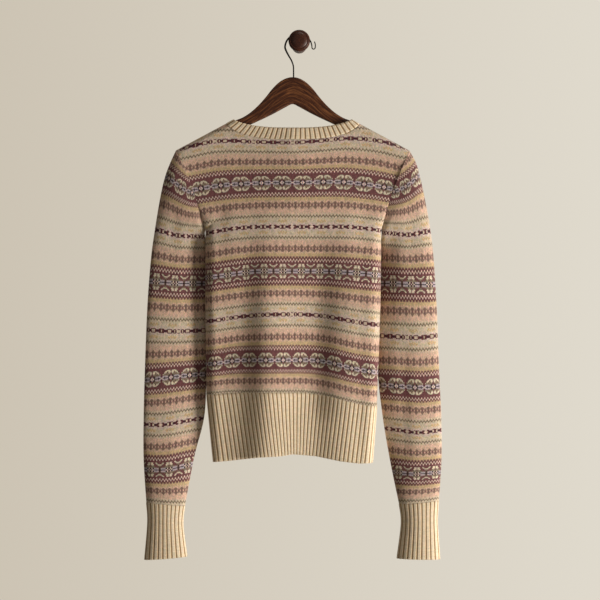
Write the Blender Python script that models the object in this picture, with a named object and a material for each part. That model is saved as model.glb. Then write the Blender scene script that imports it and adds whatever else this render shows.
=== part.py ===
"""Fair isle jumper on a wooden coat hanger, hung by its wire hook on a turned wall peg.

+X is the viewer's right, +Z is up and +Y goes into the wall. The jumper's back faces the viewer.
The origin is the middle of the peg's flat back, on the wall. Tables and sizes are in millimetres, and
across the jumper they are measured from its own centreline, which hangs a little to the left of the peg.
"""

import math
from collections import namedtuple

import bmesh
import bpy
import numpy as np

MM = 0.001
CENTRELINE_X = -11.0
HANG_Y = -45.0  # the plane of the hook, the hanger and the side seams

# Cloth
WALL = 2.0
SEAM_GAP = 0.3
NECK_SEAM_GAP = 0.5  # wider, because the band bends round corners of the panels' coarser edge
RIB_RAISE = 1.3
POINTS_PER_RIB = 3
RIB_FORM = (0.0, 1.0, 1.0)
HEM_RIBS = 45
NECK_RIBS = 58
CUFF_RIBS = 22

# Shoulder line, from the neck seam down to the armhole, and the fold of cloth over the hanger
NECK_HALF = 111.0
NECK_SEAM_Z = -134.8
TIP_HALF = 193.0
TIP_Z = -178.8
SLOPE = math.atan2(NECK_SEAM_Z - TIP_Z, TIP_HALF - NECK_HALF)
FOLD_RADIUS = 9.5
BODY_DEPTH = 26.0  # from the side seams' plane out to the cloth, low on the body
DEPTH_GROWS = 200.0  # over this much of the drop below the shoulder line
SIDE_ROUNDING = 6.0
UNDERARM_Z = -312.0
ARMHOLE_DEPTH = 14.5
ARMHOLE_BOW = 4.0
OVAL = 2.5

# Neck band: its free edge where it crosses the shoulder
NECK_EDGE_HALF = 98.0
NECK_EDGE_Z = NECK_SEAM_Z + (NECK_HALF - NECK_EDGE_HALF) * math.tan(SLOPE)
NeckCurve = namedtuple("NeckCurve", "seam_drop seam_x_power seam_z_power edge_drop edge_x_power edge_z_power")
BACK_NECK = NeckCurve(26.6, 3.2, 1.4, 14.6, 2.7, 1.3)
FRONT_NECK = NeckCurve(88.0, 2.3, 1.2, 75.0, 2.3, 1.2)

# Where the grid's columns meet the neck, as an angle from the shoulder to the middle, and the same
# columns as shares of the half width, then the columns out to the side seam
NECK_ANGLES = (0.0, 0.07, 0.15, 0.24, 0.38, 0.56, 0.78, 1.02, 1.25, 1.43, math.pi / 2)
NECK_COLUMNS = (0.575, 0.545, 0.51, 0.47, 0.42, 0.36, 0.30, 0.235, 0.165, 0.085, 0.0)
SIDE_COLUMNS = (1.0, 0.99, 0.965, 0.92, 0.85, 0.76, 0.67)

# Shares of the armhole, tip to underarm, where the grid's rows meet it, and the rows below it
ARMHOLE_SHARES = (0.0, 0.0086, 0.0323, 0.0645, 0.14, 0.26, 0.40, 0.55, 0.70, 0.85, 0.95, 1.0)
ARMHOLE_ROW = 0.325  # the underarm's place between the shoulder line, 0, and the hem seam, 1
BODY_ROWS_BELOW = 9
NECK_ROWS = 6  # the grid's first rows, which run so steeply beside the neck that only the depth's slope turns them

Side = namedtuple("Side", "z left right")
SIDE_SEAMS = (
    Side(UNDERARM_Z, -144.5, 147.0),
    Side(-360.0, -144.9, 146.8),
    Side(-427.0, -145.0, 146.0),
    Side(-510.0, -144.5, 143.5),
    Side(-592.0, -143.0, 140.0),
)
Edge = namedtuple("Edge", "x z")
HEM_SEAM = (
    Edge(-143, -584.4),
    Edge(-110, -580.5),
    Edge(-30, -579.3),
    Edge(20, -579.6),
    Edge(59, -585.4),
    Edge(90, -593.3),
    Edge(120, -600.0),
    Edge(140, -601.5),
)
HEM_EDGE = (
    Edge(-132, -695.0),
    Edge(-108, -693.0),
    Edge(-54, -686.0),
    Edge(-18, -684.0),
    Edge(0, -681.0),
    Edge(39, -684.4),
    Edge(79, -692.3),
    Edge(109, -696.0),
    Edge(133, -695.5),
)
HEM_EDGE_DEPTH = 0.9  # the rib draws the hem in to this share of the depth above it

# Large soft folds: x of the trough at its top and at the hem, where it begins, how deep and wide
Trough = namedtuple("Trough", "x_top x_hem z_top z_full deep left_width right_width")
BACK_TROUGHS = (
    Trough(-77.0, -94.0, -240.0, -500.0, 8.5, 34.0, 29.0),
    Trough(46.0, 31.0, -240.0, -500.0, 9.0, 54.0, 30.0),
    Trough(-120.0, -112.0, -250.0, -290.0, 2.5, 16.0, 16.0),
    Trough(120.0, 112.0, -250.0, -290.0, 2.5, 16.0, 16.0),
)
FRONT_TROUGHS = (
    Trough(-45.0, -52.0, -420.0, -570.0, 7.0, 22.0, 22.0),
    Trough(70.0, 62.0, -450.0, -570.0, 6.0, 22.0, 22.0),
)

# Sleeves, ring by ring from just below the armhole to the cuff seam, and the cuffs
Ring = namedtuple("Ring", "outer_x outer_z inner_x inner_z depth bow")
LEFT_SLEEVE = (
    Ring(-203.0, -200.0, -146.2, -316.0, 16.0, 2.4),
    Ring(-211.5, -223.0, -146.9, -322.0, 18.5, 0.9),
    Ring(-219.0, -255.0, -147.2, -332.0, 20.5, 0.0),
    Ring(-228.0, -308.0, -147.4, -350.0, 22.5, 0.0),
    Ring(-235.0, -360.0, -147.6, -385.0, 22.5, 0.0),
    Ring(-241.0, -440.0, -147.8, -448.0, 21.0, 0.0),
    Ring(-245.0, -543.0, -147.8, -540.0, 19.0, 0.0),
    Ring(-247.0, -620.0, -150.0, -618.0, 18.0, 0.0),
    Ring(-247.0, -691.0, -163.0, -686.0, 17.0, 0.0),
    Ring(-242.5, -762.0, -178.5, -768.0, 15.0, 0.0),
)
RIGHT_SLEEVE = (
    Ring(204.0, -198.0, 148.8, -316.0, 16.0, 2.4),
    Ring(211.0, -222.0, 149.6, -322.0, 18.5, 0.9),
    Ring(218.5, -255.0, 150.2, -332.0, 20.5, 0.0),
    Ring(228.0, -308.0, 150.4, -350.0, 22.5, 0.0),
    Ring(234.0, -360.0, 150.2, -385.0, 22.5, 0.0),
    Ring(239.0, -440.0, 149.2, -448.0, 21.0, 0.0),
    Ring(243.0, -543.0, 147.0, -540.0, 19.0, 0.0),
    Ring(246.5, -620.0, 149.0, -615.0, 18.0, 0.0),
    Ring(247.0, -691.0, 162.0, -694.0, 17.0, 0.0),
    Ring(242.5, -759.0, 176.5, -765.0, 15.0, 0.0),
)
# Long shallow hollows down the sleeves: where each is deepest, and how far it reaches up and down
Hollow = namedtuple("Hollow", "x z reach deep half_width")
SLEEVE_HOLLOWS = (
    Hollow(-192.0, -540.0, 95.0, 4.0, 13.0),
    Hollow(-196.0, -330.0, 60.0, 2.5, 12.0),
    Hollow(186.0, -560.0, 110.0, 4.0, 13.0),
    Hollow(196.0, -340.0, 60.0, 2.5, 12.0),
)
RING_STEPS = (1, 1, 1, 2, 2, 2, 2, 2, 2, 2)
LEFT_CUFF = (
    Ring(-240.5, -796.0, -181.5, -800.0, 14.5, 0.0),
    Ring(-245.5, -857.0, -175.0, -852.0, 16.0, 0.0),
)
RIGHT_CUFF = (
    Ring(240.5, -796.0, 180.0, -798.0, 14.5, 0.0),
    Ring(244.5, -856.0, 173.0, -855.0, 16.0, 0.0),
)

# Hanger: the shaped middle, then arms that lie just under the shoulder line
Arm = namedtuple("Arm", "x top bottom half_thickness")
HANGER_MIDDLE = (
    Arm(0.0, -57.8, -102.0, 6.0),
    Arm(11.0, -59.8, -106.8, 6.0),
    Arm(22.0, -66.0, -112.8, 6.0),
    Arm(34.0, -77.6, -119.2, 6.0),
    Arm(45.0, -91.5, -124.6, 6.0),
    Arm(56.5, -104.3, -130.0, 5.8),
    Arm(68.0, -114.8, -135.4, 5.8),
    Arm(82.0, -124.2, -142.4, 5.8),
)
HANGER_CLEARANCE = 0.5
HANGER_ARM_X = (98.0, 115.0, 135.0, 156.0, 172.0, 182.0)
HANGER_ARM_HEIGHT = (19.5, 13.5)  # at the first and the last of these
HANGER_ARM_HALF = (5.8, 5.8, 5.8, 5.6, 5.2, 4.2)  # half the thickness at each
HANGER_END_X = 186.0
HANGER_END_SHARE = 0.45
HANGER_LOWER_ROUND = 0.7  # radius of the lower edges, as a share of half the thickness

# Wire hook, from the peg's axis
WIRE_RADIUS = 1.5
HOOK_BEND_X = -1.2
HOOK_BEND_Z = -8.25
HOOK_BEND_RADIUS = 22.3
STEM_X = -9.4
STEM_ROUTE = ((STEM_X, -47.0), (-9.8, -39.0), (-12.6, -30.5), (-17.4, -22.0), (-21.6, -14.0))
CURL_RADIUS = 2.7
CURL_END = ((26.6, -3.0), (25.2, 1.5))

# Peg, turned: radius and how far out from the wall
PEG_SHANK_RADIUS = 12.2
Turned = namedtuple("Turned", "radius out")
PEG_PROFILE = (
    Turned(0.0, 0.0),
    Turned(PEG_SHANK_RADIUS, 0.0),
    Turned(PEG_SHANK_RADIUS, 56.5),
    Turned(15.6, 57.4),
    Turned(17.3, 59.4),
    Turned(17.7, 62.5),
    Turned(17.7, 68.0),
    Turned(16.9, 71.0),
    Turned(15.2, 72.8),
    Turned(13.4, 72.6),
    Turned(12.2, 73.8),
    Turned(7.0, 75.0),
    Turned(0.0, 75.2),
)
PEG_STEPS = 28

# sRGB colours and finish of each material: hex, roughness, metallic
PALE_YARN = ("c8b48e", 0.92, 0.0)
BAND_YARN = ("8d6f66", 0.92, 0.0)
DARK_WOOD = ("4a2c18", 0.45, 0.0)
PEG_WOOD = ("40261b", 0.50, 0.0)
DARK_STEEL = ("1d1b1b", 0.35, 0.9)


def smooth(t):
    t = min(max(t, 0.0), 1.0)
    return t * t * (3.0 - 2.0 * t)


def unit(vector):
    vector = np.asarray(vector, float)
    return vector / np.linalg.norm(vector)


def ease_between(stations, i, t):
    """The ring at share t between rings i and i + 1, on a smooth curve through them all."""
    near = [stations[min(max(i + k, 0), len(stations) - 1)] for k in (-1, 0, 1, 2)]
    before, start, end, after = (np.array(ring) for ring in near)
    return Ring(
        *0.5
        * (
            2 * start
            + (end - before) * t
            + (2 * before - 5 * start + 4 * end - after) * t**2
            + (3 * start - before - 3 * end + after) * t**3
        )
    )


def along(edge, x):
    return float(np.interp(x, [p.x for p in edge], [p.z for p in edge]))


def shoulder_z(x):
    """Height of the shoulder line, carried on inwards across the neck."""
    return NECK_SEAM_Z + (NECK_HALF - abs(x)) * math.tan(SLOPE)


def hanging_depth(x, z):
    """How far the cloth stands out from the plane of the side seams, before its edges round in."""
    drop = max((shoulder_z(x) - z) * math.cos(SLOPE), 0.0)
    if drop < FOLD_RADIUS:
        return math.sqrt(FOLD_RADIUS**2 - (FOLD_RADIUS - drop) ** 2)
    return FOLD_RADIUS + (BODY_DEPTH - FOLD_RADIUS) * smooth((drop - FOLD_RADIUS) / DEPTH_GROWS)


def hanging_normal(x, z, facing):
    """Outward normal of the hanging cloth, from the slope of its depth."""
    drop = max((shoulder_z(x) - z) * math.cos(SLOPE), 1e-6)
    steep = (hanging_depth(x, z - 1e-3) - hanging_depth(x, z)) / 1e-3 / math.cos(SLOPE)
    if drop < FOLD_RADIUS:
        steep = (FOLD_RADIUS - drop) / math.sqrt(FOLD_RADIUS**2 - (FOLD_RADIUS - drop) ** 2)
    return unit([math.copysign(math.sin(SLOPE), x) * steep, facing, math.cos(SLOPE) * steep])


def folded_in(troughs, x, z):
    total = 0.0
    for fold in troughs:
        down = smooth((fold.z_top - z) / (fold.z_top - fold.z_full))
        place = (fold.z_top - z) / (fold.z_top - HEM_EDGE[0].z)
        middle = fold.x_top + (fold.x_hem - fold.x_top) * min(max(place, 0.0), 1.0)
        width = fold.left_width if x < middle else fold.right_width
        total += fold.deep * down * math.exp(-(((x - middle) / width) ** 2))
    return total


def oval(share):
    return (1.0 - abs(2.0 * share - 1.0) ** OVAL) ** (1.0 / OVAL)


class Armhole:
    """The armhole's curved sheet, where a body panel and a sleeve meet, seen from the viewer."""

    def __init__(self, sign):
        self.tip = np.array([sign * TIP_HALF, TIP_Z])
        underarm = SIDE_SEAMS[0].left if sign < 0 else SIDE_SEAMS[0].right
        self.underarm = np.array([underarm, UNDERARM_Z])
        self.length = np.linalg.norm(self.underarm - self.tip)
        self.down = (self.underarm - self.tip) / self.length
        self.inwards = np.array([-sign * abs(self.down[1]), abs(self.down[0])])

    def point(self, share, wall=0.0):
        """x, z and depth at a share of the seam, or of the seam's inner edge under a wall."""
        run = wall + share * (self.length - 2 * wall)
        bow = ARMHOLE_BOW * math.sin(math.pi * run / self.length)
        x, z = self.tip + self.down * run + self.inwards * bow
        return x, z, (ARMHOLE_DEPTH - wall) * oval(share)


def neck_point(angle, half, top_z, drop, x_power, z_power):
    x = half * math.cos(angle) ** (2.0 / x_power) if angle < math.pi / 2 else 0.0
    return x, top_z - drop * math.sin(angle) ** (2.0 / z_power)


def columns():
    """Each column's place across the half widths, -1 to 1, and its angle round the neck or None."""
    left = [(-share, None) for share in SIDE_COLUMNS]
    left += [(-share, angle) for share, angle in zip(NECK_COLUMNS, NECK_ANGLES)]
    return left + [(-share, angle) for share, angle in reversed(left[:-1])]


def rows():
    """Each row's place from the shoulder line, 0, down to the hem seam, 1."""
    shares = [ARMHOLE_ROW * share for share in ARMHOLE_SHARES]
    step = (1.0 - ARMHOLE_ROW) / BODY_ROWS_BELOW
    return shares + [ARMHOLE_ROW + step * (i + 1) for i in range(BODY_ROWS_BELOW)]


def rounding(place):
    """Share of its full depth that the cloth keeps near the side seams, where it rounds in."""
    return math.sqrt(max(1.0 - abs(place) ** SIDE_ROUNDING, 0.0))


def side_point(sign, row):
    """x, z and depth of the panel's side edge: the armhole, then the side seam."""
    if row <= ARMHOLE_ROW:
        return Armhole(sign).point(min(row / ARMHOLE_ROW, 1.0))
    hem_x = HEM_SEAM[0].x if sign < 0 else HEM_SEAM[-1].x
    share = (row - ARMHOLE_ROW) / (1.0 - ARMHOLE_ROW)
    z = UNDERARM_Z + (along(HEM_SEAM, hem_x) - UNDERARM_Z) * share
    heights = [-side.z for side in SIDE_SEAMS]
    widths = [side.left if sign < 0 else side.right for side in SIDE_SEAMS]
    return float(np.interp(-z, heights, widths)), z, 0.0


def top_point(place, angle, neck):
    sign = -1.0 if place < 0 else 1.0
    if angle is None:
        share = (abs(place) - NECK_COLUMNS[0]) / (1.0 - NECK_COLUMNS[0])
        x = NECK_HALF + (TIP_HALF - NECK_HALF) * share
        return np.array([sign * x, shoulder_z(x)])
    x, z = neck_point(angle, NECK_HALF, NECK_SEAM_Z, neck.seam_drop, neck.seam_x_power, neck.seam_z_power)
    return np.array([sign * x, z])


def hem_point(place):
    left, right = HEM_SEAM[0].x, HEM_SEAM[-1].x
    x = left + (right - left) * (place + 1.0) / 2.0
    return np.array([x, along(HEM_SEAM, x)])


def grid_normals(grid, facing):
    normals = np.cross(np.gradient(grid, axis=1), np.gradient(grid, axis=0))
    normals *= facing * np.sign(normals[:, :, 1].sum())
    return normals / np.linalg.norm(normals, axis=2, keepdims=True)


def body_panel(facing, neck, troughs):
    """Outer and inner grids of a panel. facing is -1 for the back, which faces the viewer, and 1 for the front."""
    cols, lines = columns(), rows()
    outer = np.zeros((len(lines), len(cols), 3))
    corners = [side_point(sign, row)[:2] for sign in (-1, 1) for row in (0.0, 1.0)]
    top_left, low_left, top_right, low_right = (np.array(c) for c in corners)
    for i, row in enumerate(lines):
        ends = [side_point(sign, row) for sign in (-1, 1)]
        left, right = (np.array(end[:2]) for end in ends)
        for j, (place, angle) in enumerate(cols):
            share = (place + 1.0) / 2.0
            flat = (1 - row) * top_point(place, angle, neck) + row * hem_point(place)
            flat += (1 - share) * left + share * right
            flat -= (1 - row) * ((1 - share) * top_left + share * top_right)
            flat -= row * ((1 - share) * low_left + share * low_right)
            edge_depth = ends[0][2] if place < 0 else ends[1][2]
            depth = edge_depth + (hanging_depth(*flat) - edge_depth) * rounding(place)
            depth -= folded_in(troughs, *flat) * rounding(place)
            on_shoulder = i == 0 and (angle is None or angle == 0.0)
            depth = SEAM_GAP / 2 if on_shoulder else max(depth, SEAM_GAP / 2)
            outer[i, j] = flat[0], HANG_Y + facing * depth, flat[1]
    normals = grid_normals(outer, facing)
    for i in range(NECK_ROWS):
        for j, (place, angle) in enumerate(cols):
            if angle is not None:
                normals[i, j] = hanging_normal(outer[i, j][0], outer[i, j][2], facing)
    inner = outer - WALL * normals
    inner[-1] = outer[-1] - WALL * plan_normals(outer[-1], facing)
    for i, row in enumerate(lines):
        for sign, j in ((-1, 0), (1, len(cols) - 1)):
            if row <= ARMHOLE_ROW:
                x, z, depth = Armhole(sign).point(min(row / ARMHOLE_ROW, 1.0), WALL)
                inner[i, j] = x, HANG_Y + facing * max(depth, SEAM_GAP / 2), z
            else:
                inner[i, j] = outer[i, j] - [sign * WALL, 0.0, 0.0]
    for j, (place, angle) in enumerate(cols):
        if abs(place) < 1.0 and (angle is None or angle == 0.0):
            sign = -1.0 if place < 0 else 1.0
            inner[0, j] = outer[0, j] - WALL * np.array([sign * math.sin(SLOPE), 0.0, math.cos(SLOPE)])
    return outer, inner


def plan_normals(line, facing):
    """Outward normals of a line of points as seen from above, square to X at its two ends."""
    run = np.gradient(line, axis=0)
    normals = np.stack([-run[:, 1], run[:, 0], np.zeros(len(line))], axis=1)
    normals *= facing * np.sign(normals[:, 1].sum())
    normals /= np.linalg.norm(normals, axis=1, keepdims=True)
    normals[0], normals[-1] = (-1.0, 0.0, 0.0), (1.0, 0.0, 0.0)
    return normals


def resample(line, guide, count, closed):
    """The line's points at even steps along the guide, which has the same number of points."""
    if closed:
        line, guide = np.vstack([line, line[:1]]), np.vstack([guide, guide[:1]])
    run = np.concatenate([[0.0], np.cumsum(np.linalg.norm(np.diff(guide, axis=0), axis=1))])
    places = np.linspace(0.0, run[-1], count + 1)[: count if closed else count + 1]
    return np.stack([np.interp(places, run, line[:, k]) for k in range(3)], axis=1)


def ribbed(outer_rows, inner_rows, ribs, closed, inner_per_rib=1):
    """A ribbed wall: each rib raises the outer points, and the inside stays plain."""
    count = ribs * POINTS_PER_RIB
    outer, inner = [], []
    for out_line, in_line in zip(outer_rows, inner_rows):
        base = resample(out_line, out_line, count, closed)
        back = resample(in_line, out_line, count, closed)
        raised = np.array([RIB_FORM[k % POINTS_PER_RIB] for k in range(len(base))])
        if not closed:
            raised[0] = raised[-1] = 0.0
        away = (base - back) / np.linalg.norm(base - back, axis=1, keepdims=True)
        outer.append(base + away * (raised * RIB_RAISE)[:, None])
        inner.append(resample(in_line, out_line, ribs * inner_per_rib, closed))
    return np.array(outer), np.array(inner)


def hem_rib(facing, panel, troughs):
    """The hem's grids: the panel's lower edge, then two lines down to the free edge."""
    outer_rows = [panel[0][-1] - [0.0, 0.0, SEAM_GAP]]
    inner_rows = [panel[1][-1] - [0.0, 0.0, SEAM_GAP]]
    cols = columns()
    left, right = HEM_EDGE[0].x, HEM_EDGE[-1].x
    for share in (0.5, 1.0):
        line = []
        for place, _ in cols:
            low_x = left + (right - left) * (place + 1.0) / 2.0
            seam_x, seam_z = hem_point(place)
            x = seam_x + (low_x - seam_x) * share
            z = seam_z + (along(HEM_EDGE, low_x) - seam_z) * share
            depth = (BODY_DEPTH - folded_in(troughs, x, z)) * rounding(place)
            depth *= 1.0 + (HEM_EDGE_DEPTH - 1.0) * share
            line.append((x, HANG_Y + facing * max(depth, SEAM_GAP / 2), z))
        line = np.array(line)
        outer_rows.append(line)
        inner_rows.append(line - WALL * plan_normals(line, facing))
    return ribbed(outer_rows, inner_rows, HEM_RIBS, closed=False)


def neck_rib(back, front):
    """The neck band's closed loop, from both panels' neck edges out to its free edge."""
    cols = columns()
    on_neck = [j for j, (_, angle) in enumerate(cols) if angle is not None]
    loops = []
    for side in (0, 1):
        back_edge = back[side][0][on_neck]
        front_edge = front[side][0][on_neck][::-1]
        loops.append(np.vstack([back_edge, front_edge]))
    outer_seam, inner_seam = loops
    edge = []
    for facing, neck, order in ((-1, BACK_NECK, on_neck), (1, FRONT_NECK, on_neck[::-1])):
        for j in order:
            place, angle = cols[j]
            x, z = neck_point(
                angle, NECK_EDGE_HALF, NECK_EDGE_Z, neck.edge_drop, neck.edge_x_power, neck.edge_z_power
            )
            depth = hanging_depth(x, z) if angle else SEAM_GAP / 2
            edge.append((math.copysign(x, place), HANG_Y + facing * depth, z))
    outer_edge = np.array(edge)
    towards = outer_edge - outer_seam
    towards /= np.linalg.norm(towards, axis=1, keepdims=True)
    gap = NECK_SEAM_GAP * towards
    inner_edge = outer_edge - (outer_seam - inner_seam)
    outer_rows = [outer_seam + gap, outer_edge]
    inner_rows = [inner_seam + gap, inner_edge]
    return ribbed(outer_rows, inner_rows, NECK_RIBS, closed=True, inner_per_rib=POINTS_PER_RIB)


def hollow_depth(x, z):
    return sum(
        hollow.deep * math.exp(-(((x - hollow.x) / hollow.half_width) ** 2) - ((z - hollow.z) / hollow.reach) ** 2)
        for hollow in SLEEVE_HOLLOWS
    )


def ring_points(ring, wall=0.0):
    """A sleeve's or cuff's ring of points: its viewer's side from outer to inner edge, then back."""
    start = np.array([ring.outer_x, ring.outer_z])
    end = np.array([ring.inner_x, ring.inner_z])
    length = np.linalg.norm(end - start)
    down = (end - start) / length
    inwards = np.array([-down[1], down[0]])
    if inwards[0] * start[0] > 0:
        inwards = -inwards
    points = []
    for facing in (-1, 1):
        shares = ARMHOLE_SHARES if facing < 0 else ARMHOLE_SHARES[-2:0:-1]
        for share in shares:
            run = wall + share * (length - 2 * wall)
            x, z = start + down * run + inwards * ring.bow * math.sin(math.pi * run / length)
            depth = (ring.depth - wall - hollow_depth(x, z)) * oval(share)
            points.append((x, HANG_Y + facing * depth, z))
    return np.array(points)


def sleeve_rings(sign, table):
    """Every ring of a sleeve, the armhole first, a seam's gap out from the body panels."""
    armhole = Armhole(sign)
    tip = armhole.tip - armhole.inwards * SEAM_GAP
    underarm = armhole.underarm - armhole.inwards * SEAM_GAP
    stations = [Ring(*tip, *underarm, ARMHOLE_DEPTH, ARMHOLE_BOW), *table]
    rings = [stations[0]]
    for i, steps in enumerate(RING_STEPS):
        rings += [ease_between(stations, i, (k + 1) / steps) for k in range(steps)]
    return rings


def sleeve(sign, table):
    rings = sleeve_rings(sign, table)
    outer = np.array([ring_points(ring) for ring in rings])
    inner = np.array([ring_points(ring, WALL) for ring in rings])
    return outer, inner


def cuff(sleeve_table, table):
    """A cuff's rings: the sleeve's last, a seam's gap on, then down to the free edge."""
    last = sleeve_table[-1]
    square = unit([last.inner_z - last.outer_z, last.outer_x - last.inner_x])
    if square[1] > 0:
        square = -square
    gap = np.array([square[0], 0.0, square[1]]) * SEAM_GAP
    outer_rows = [ring_points(last) + gap] + [ring_points(ring) for ring in table]
    inner_rows = [ring_points(last, WALL) + gap] + [ring_points(ring, WALL) for ring in table]
    return ribbed(outer_rows, inner_rows, CUFF_RIBS, closed=True)


def wall_faces(outer_shape, inner_shape, closed):
    """Faces of one closed wall. The outer grid may have several points for each inner one."""
    lines, many = outer_shape[:2]
    few = inner_shape[1]
    steps = few if closed else few - 1
    per = (many if closed else many - 1) // steps

    def out(i, j):
        return i * many + j % many

    def inn(i, j):
        return lines * many + i * few + j % few

    faces = []
    for i in range(lines - 1):
        faces += [(out(i, j), out(i + 1, j), out(i + 1, j + 1), out(i, j + 1)) for j in range(per * steps)]
        faces += [(inn(i, j), inn(i, j + 1), inn(i + 1, j + 1), inn(i + 1, j)) for j in range(steps)]
        if not closed:
            faces.append((out(i, 0), inn(i, 0), inn(i + 1, 0), out(i + 1, 0)))
            faces.append((out(i, many - 1), out(i + 1, many - 1), inn(i + 1, few - 1), inn(i, few - 1)))
    for j in range(steps):
        for i in (0, lines - 1):
            rim = [out(i, per * j + k) for k in range(per + 1)] + [inn(i, j + 1), inn(i, j)]
            faces.append(rim if i == 0 else rim[::-1])
    return faces


def material(name, look):
    code, roughness, metallic = look
    made = bpy.data.materials.new(name)
    made.use_nodes = True
    shader = made.node_tree.nodes["Principled BSDF"]
    channels = [int(code[i : i + 2], 16) / 255.0 for i in (0, 2, 4)]
    linear = [c / 12.92 if c <= 0.04045 else ((c + 0.055) / 1.055) ** 2.4 for c in channels]
    shader.inputs["Base Color"].default_value = (*linear, 1.0)
    shader.inputs["Roughness"].default_value = roughness
    shader.inputs["Metallic"].default_value = metallic
    return made


def add_object(name, data, look, x=0.0):
    """Links the object at x millimetres, with a material of its own."""
    made = bpy.data.objects.new(name, data)
    made.location = (x * MM, 0.0, 0.0)
    data.materials.append(material(name, look))
    bpy.context.scene.collection.objects.link(made)
    return made


def add_mesh(name, points, faces, look, x=CENTRELINE_X):
    """Makes a mesh from points in millimetres, turns its faces outwards and shades its round parts smooth."""
    mesh = bpy.data.meshes.new(name)
    mesh.from_pydata((np.asarray(points) * MM).tolist(), [], faces)
    work = bmesh.new()
    work.from_mesh(mesh)
    bmesh.ops.recalc_face_normals(work, faces=work.faces)
    work.to_mesh(mesh)
    work.free()
    mesh.shade_smooth()
    mesh.set_sharp_from_angle(angle=math.radians(40))
    return add_object(name, mesh, look, x)


def add_wall(name, grids, look, closed=False):
    outer, inner = grids
    points = np.vstack([outer.reshape(-1, 3), inner.reshape(-1, 3)])
    add_mesh(name, points, wall_faces(outer.shape, inner.shape, closed), look)


def hanger_section(x, top, bottom, half):
    """One cross-section of the hanger: a round top edge and a flatter, softened lower edge."""
    lower = half * HANGER_LOWER_ROUND
    over = [math.pi * k / 6 for k in range(7)]
    points = [(x, HANG_Y + half * math.cos(a), top - half + half * math.sin(a)) for a in over]
    corner = [(lower * (1 - math.cos(a)), lower * (1 - math.sin(a))) for a in (0, math.pi / 4, math.pi / 2)]
    points += [(x, HANG_Y - half + inset, bottom + lift) for inset, lift in corner]
    points += [(x, HANG_Y + half - inset, bottom + lift) for inset, lift in reversed(corner)]
    return points


def build_hanger():
    arms = list(HANGER_MIDDLE)
    first, last = HANGER_ARM_X[0], HANGER_ARM_X[-1]
    under_cloth = (WALL + HANGER_CLEARANCE) / math.cos(SLOPE)
    for x, half in zip(HANGER_ARM_X, HANGER_ARM_HALF):
        height = np.interp(x, (first, last), HANGER_ARM_HEIGHT)
        top = shoulder_z(x) - under_cloth
        arms.append(Arm(x, top, top - height / math.cos(SLOPE), half))
    end = arms[-1]
    middle = (end.top + end.bottom) / 2 - (HANGER_END_X - end.x) * math.tan(SLOPE)
    reach = (end.top - end.bottom) / 2 * HANGER_END_SHARE
    arms.append(Arm(HANGER_END_X, middle + reach, middle - reach, end.half_thickness * HANGER_END_SHARE))
    both = [arm._replace(x=-arm.x) for arm in reversed(arms[1:])] + arms
    points = [point for arm in both for point in hanger_section(*arm)]
    around = len(points) // len(both)
    faces = [list(range(around)), list(range(len(points) - around, len(points)))]
    for i in range(len(both) - 1):
        for j in range(around):
            here, beside = i * around + j, i * around + (j + 1) % around
            faces.append((here, beside, beside + around, here + around))
    add_mesh("hanger", points, faces, DARK_WOOD)


def hook_route():
    """The wire's path, from where it leaves the hanger, round the peg and into its end curl."""
    stem_foot = HANGER_MIDDLE[0].top + SEAM_GAP
    route = [(STEM_X, stem_foot)] + list(STEM_ROUTE)
    for k in range(17):
        angle = math.pi * (1.0 - k / 16)
        route.append(
            (HOOK_BEND_X + HOOK_BEND_RADIUS * math.cos(angle), HOOK_BEND_Z + HOOK_BEND_RADIUS * math.sin(angle))
        )
    curl_x = HOOK_BEND_X + HOOK_BEND_RADIUS + CURL_RADIUS
    for k in range(1, 5):
        angle = math.pi * (1.0 + k / 4)
        route.append((curl_x + CURL_RADIUS * math.cos(angle), HOOK_BEND_Z + CURL_RADIUS * math.sin(angle)))
    return route + list(CURL_END)


def build_hook():
    route = hook_route()
    curve = bpy.data.curves.new("hook", "CURVE")
    curve.dimensions = "3D"
    curve.bevel_depth = WIRE_RADIUS * MM
    curve.bevel_resolution = 2
    curve.use_fill_caps = True
    spline = curve.splines.new("POLY")
    spline.points.add(len(route) - 1)
    for point, (x, z) in zip(spline.points, route):
        point.co = (x * MM, HANG_Y * MM, z * MM, 1.0)
    add_object("hook", curve, DARK_STEEL)


def build_peg():
    work = bmesh.new()
    line = [work.verts.new((p.radius * MM, -p.out * MM, 0.0)) for p in PEG_PROFILE]
    edges = [work.edges.new(pair) for pair in zip(line, line[1:])]
    bmesh.ops.spin(
        work,
        geom=line + edges,
        cent=(0.0, 0.0, 0.0),
        axis=(0.0, 1.0, 0.0),
        angle=math.tau,
        steps=PEG_STEPS,
        use_duplicate=False,
    )
    bmesh.ops.remove_doubles(work, verts=work.verts, dist=1e-6)
    bmesh.ops.recalc_face_normals(work, faces=work.faces)
    mesh = bpy.data.meshes.new("peg")
    work.to_mesh(mesh)
    work.free()
    mesh.shade_smooth()
    mesh.set_sharp_from_angle(angle=math.radians(35))
    add_object("peg", mesh, PEG_WOOD)


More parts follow.
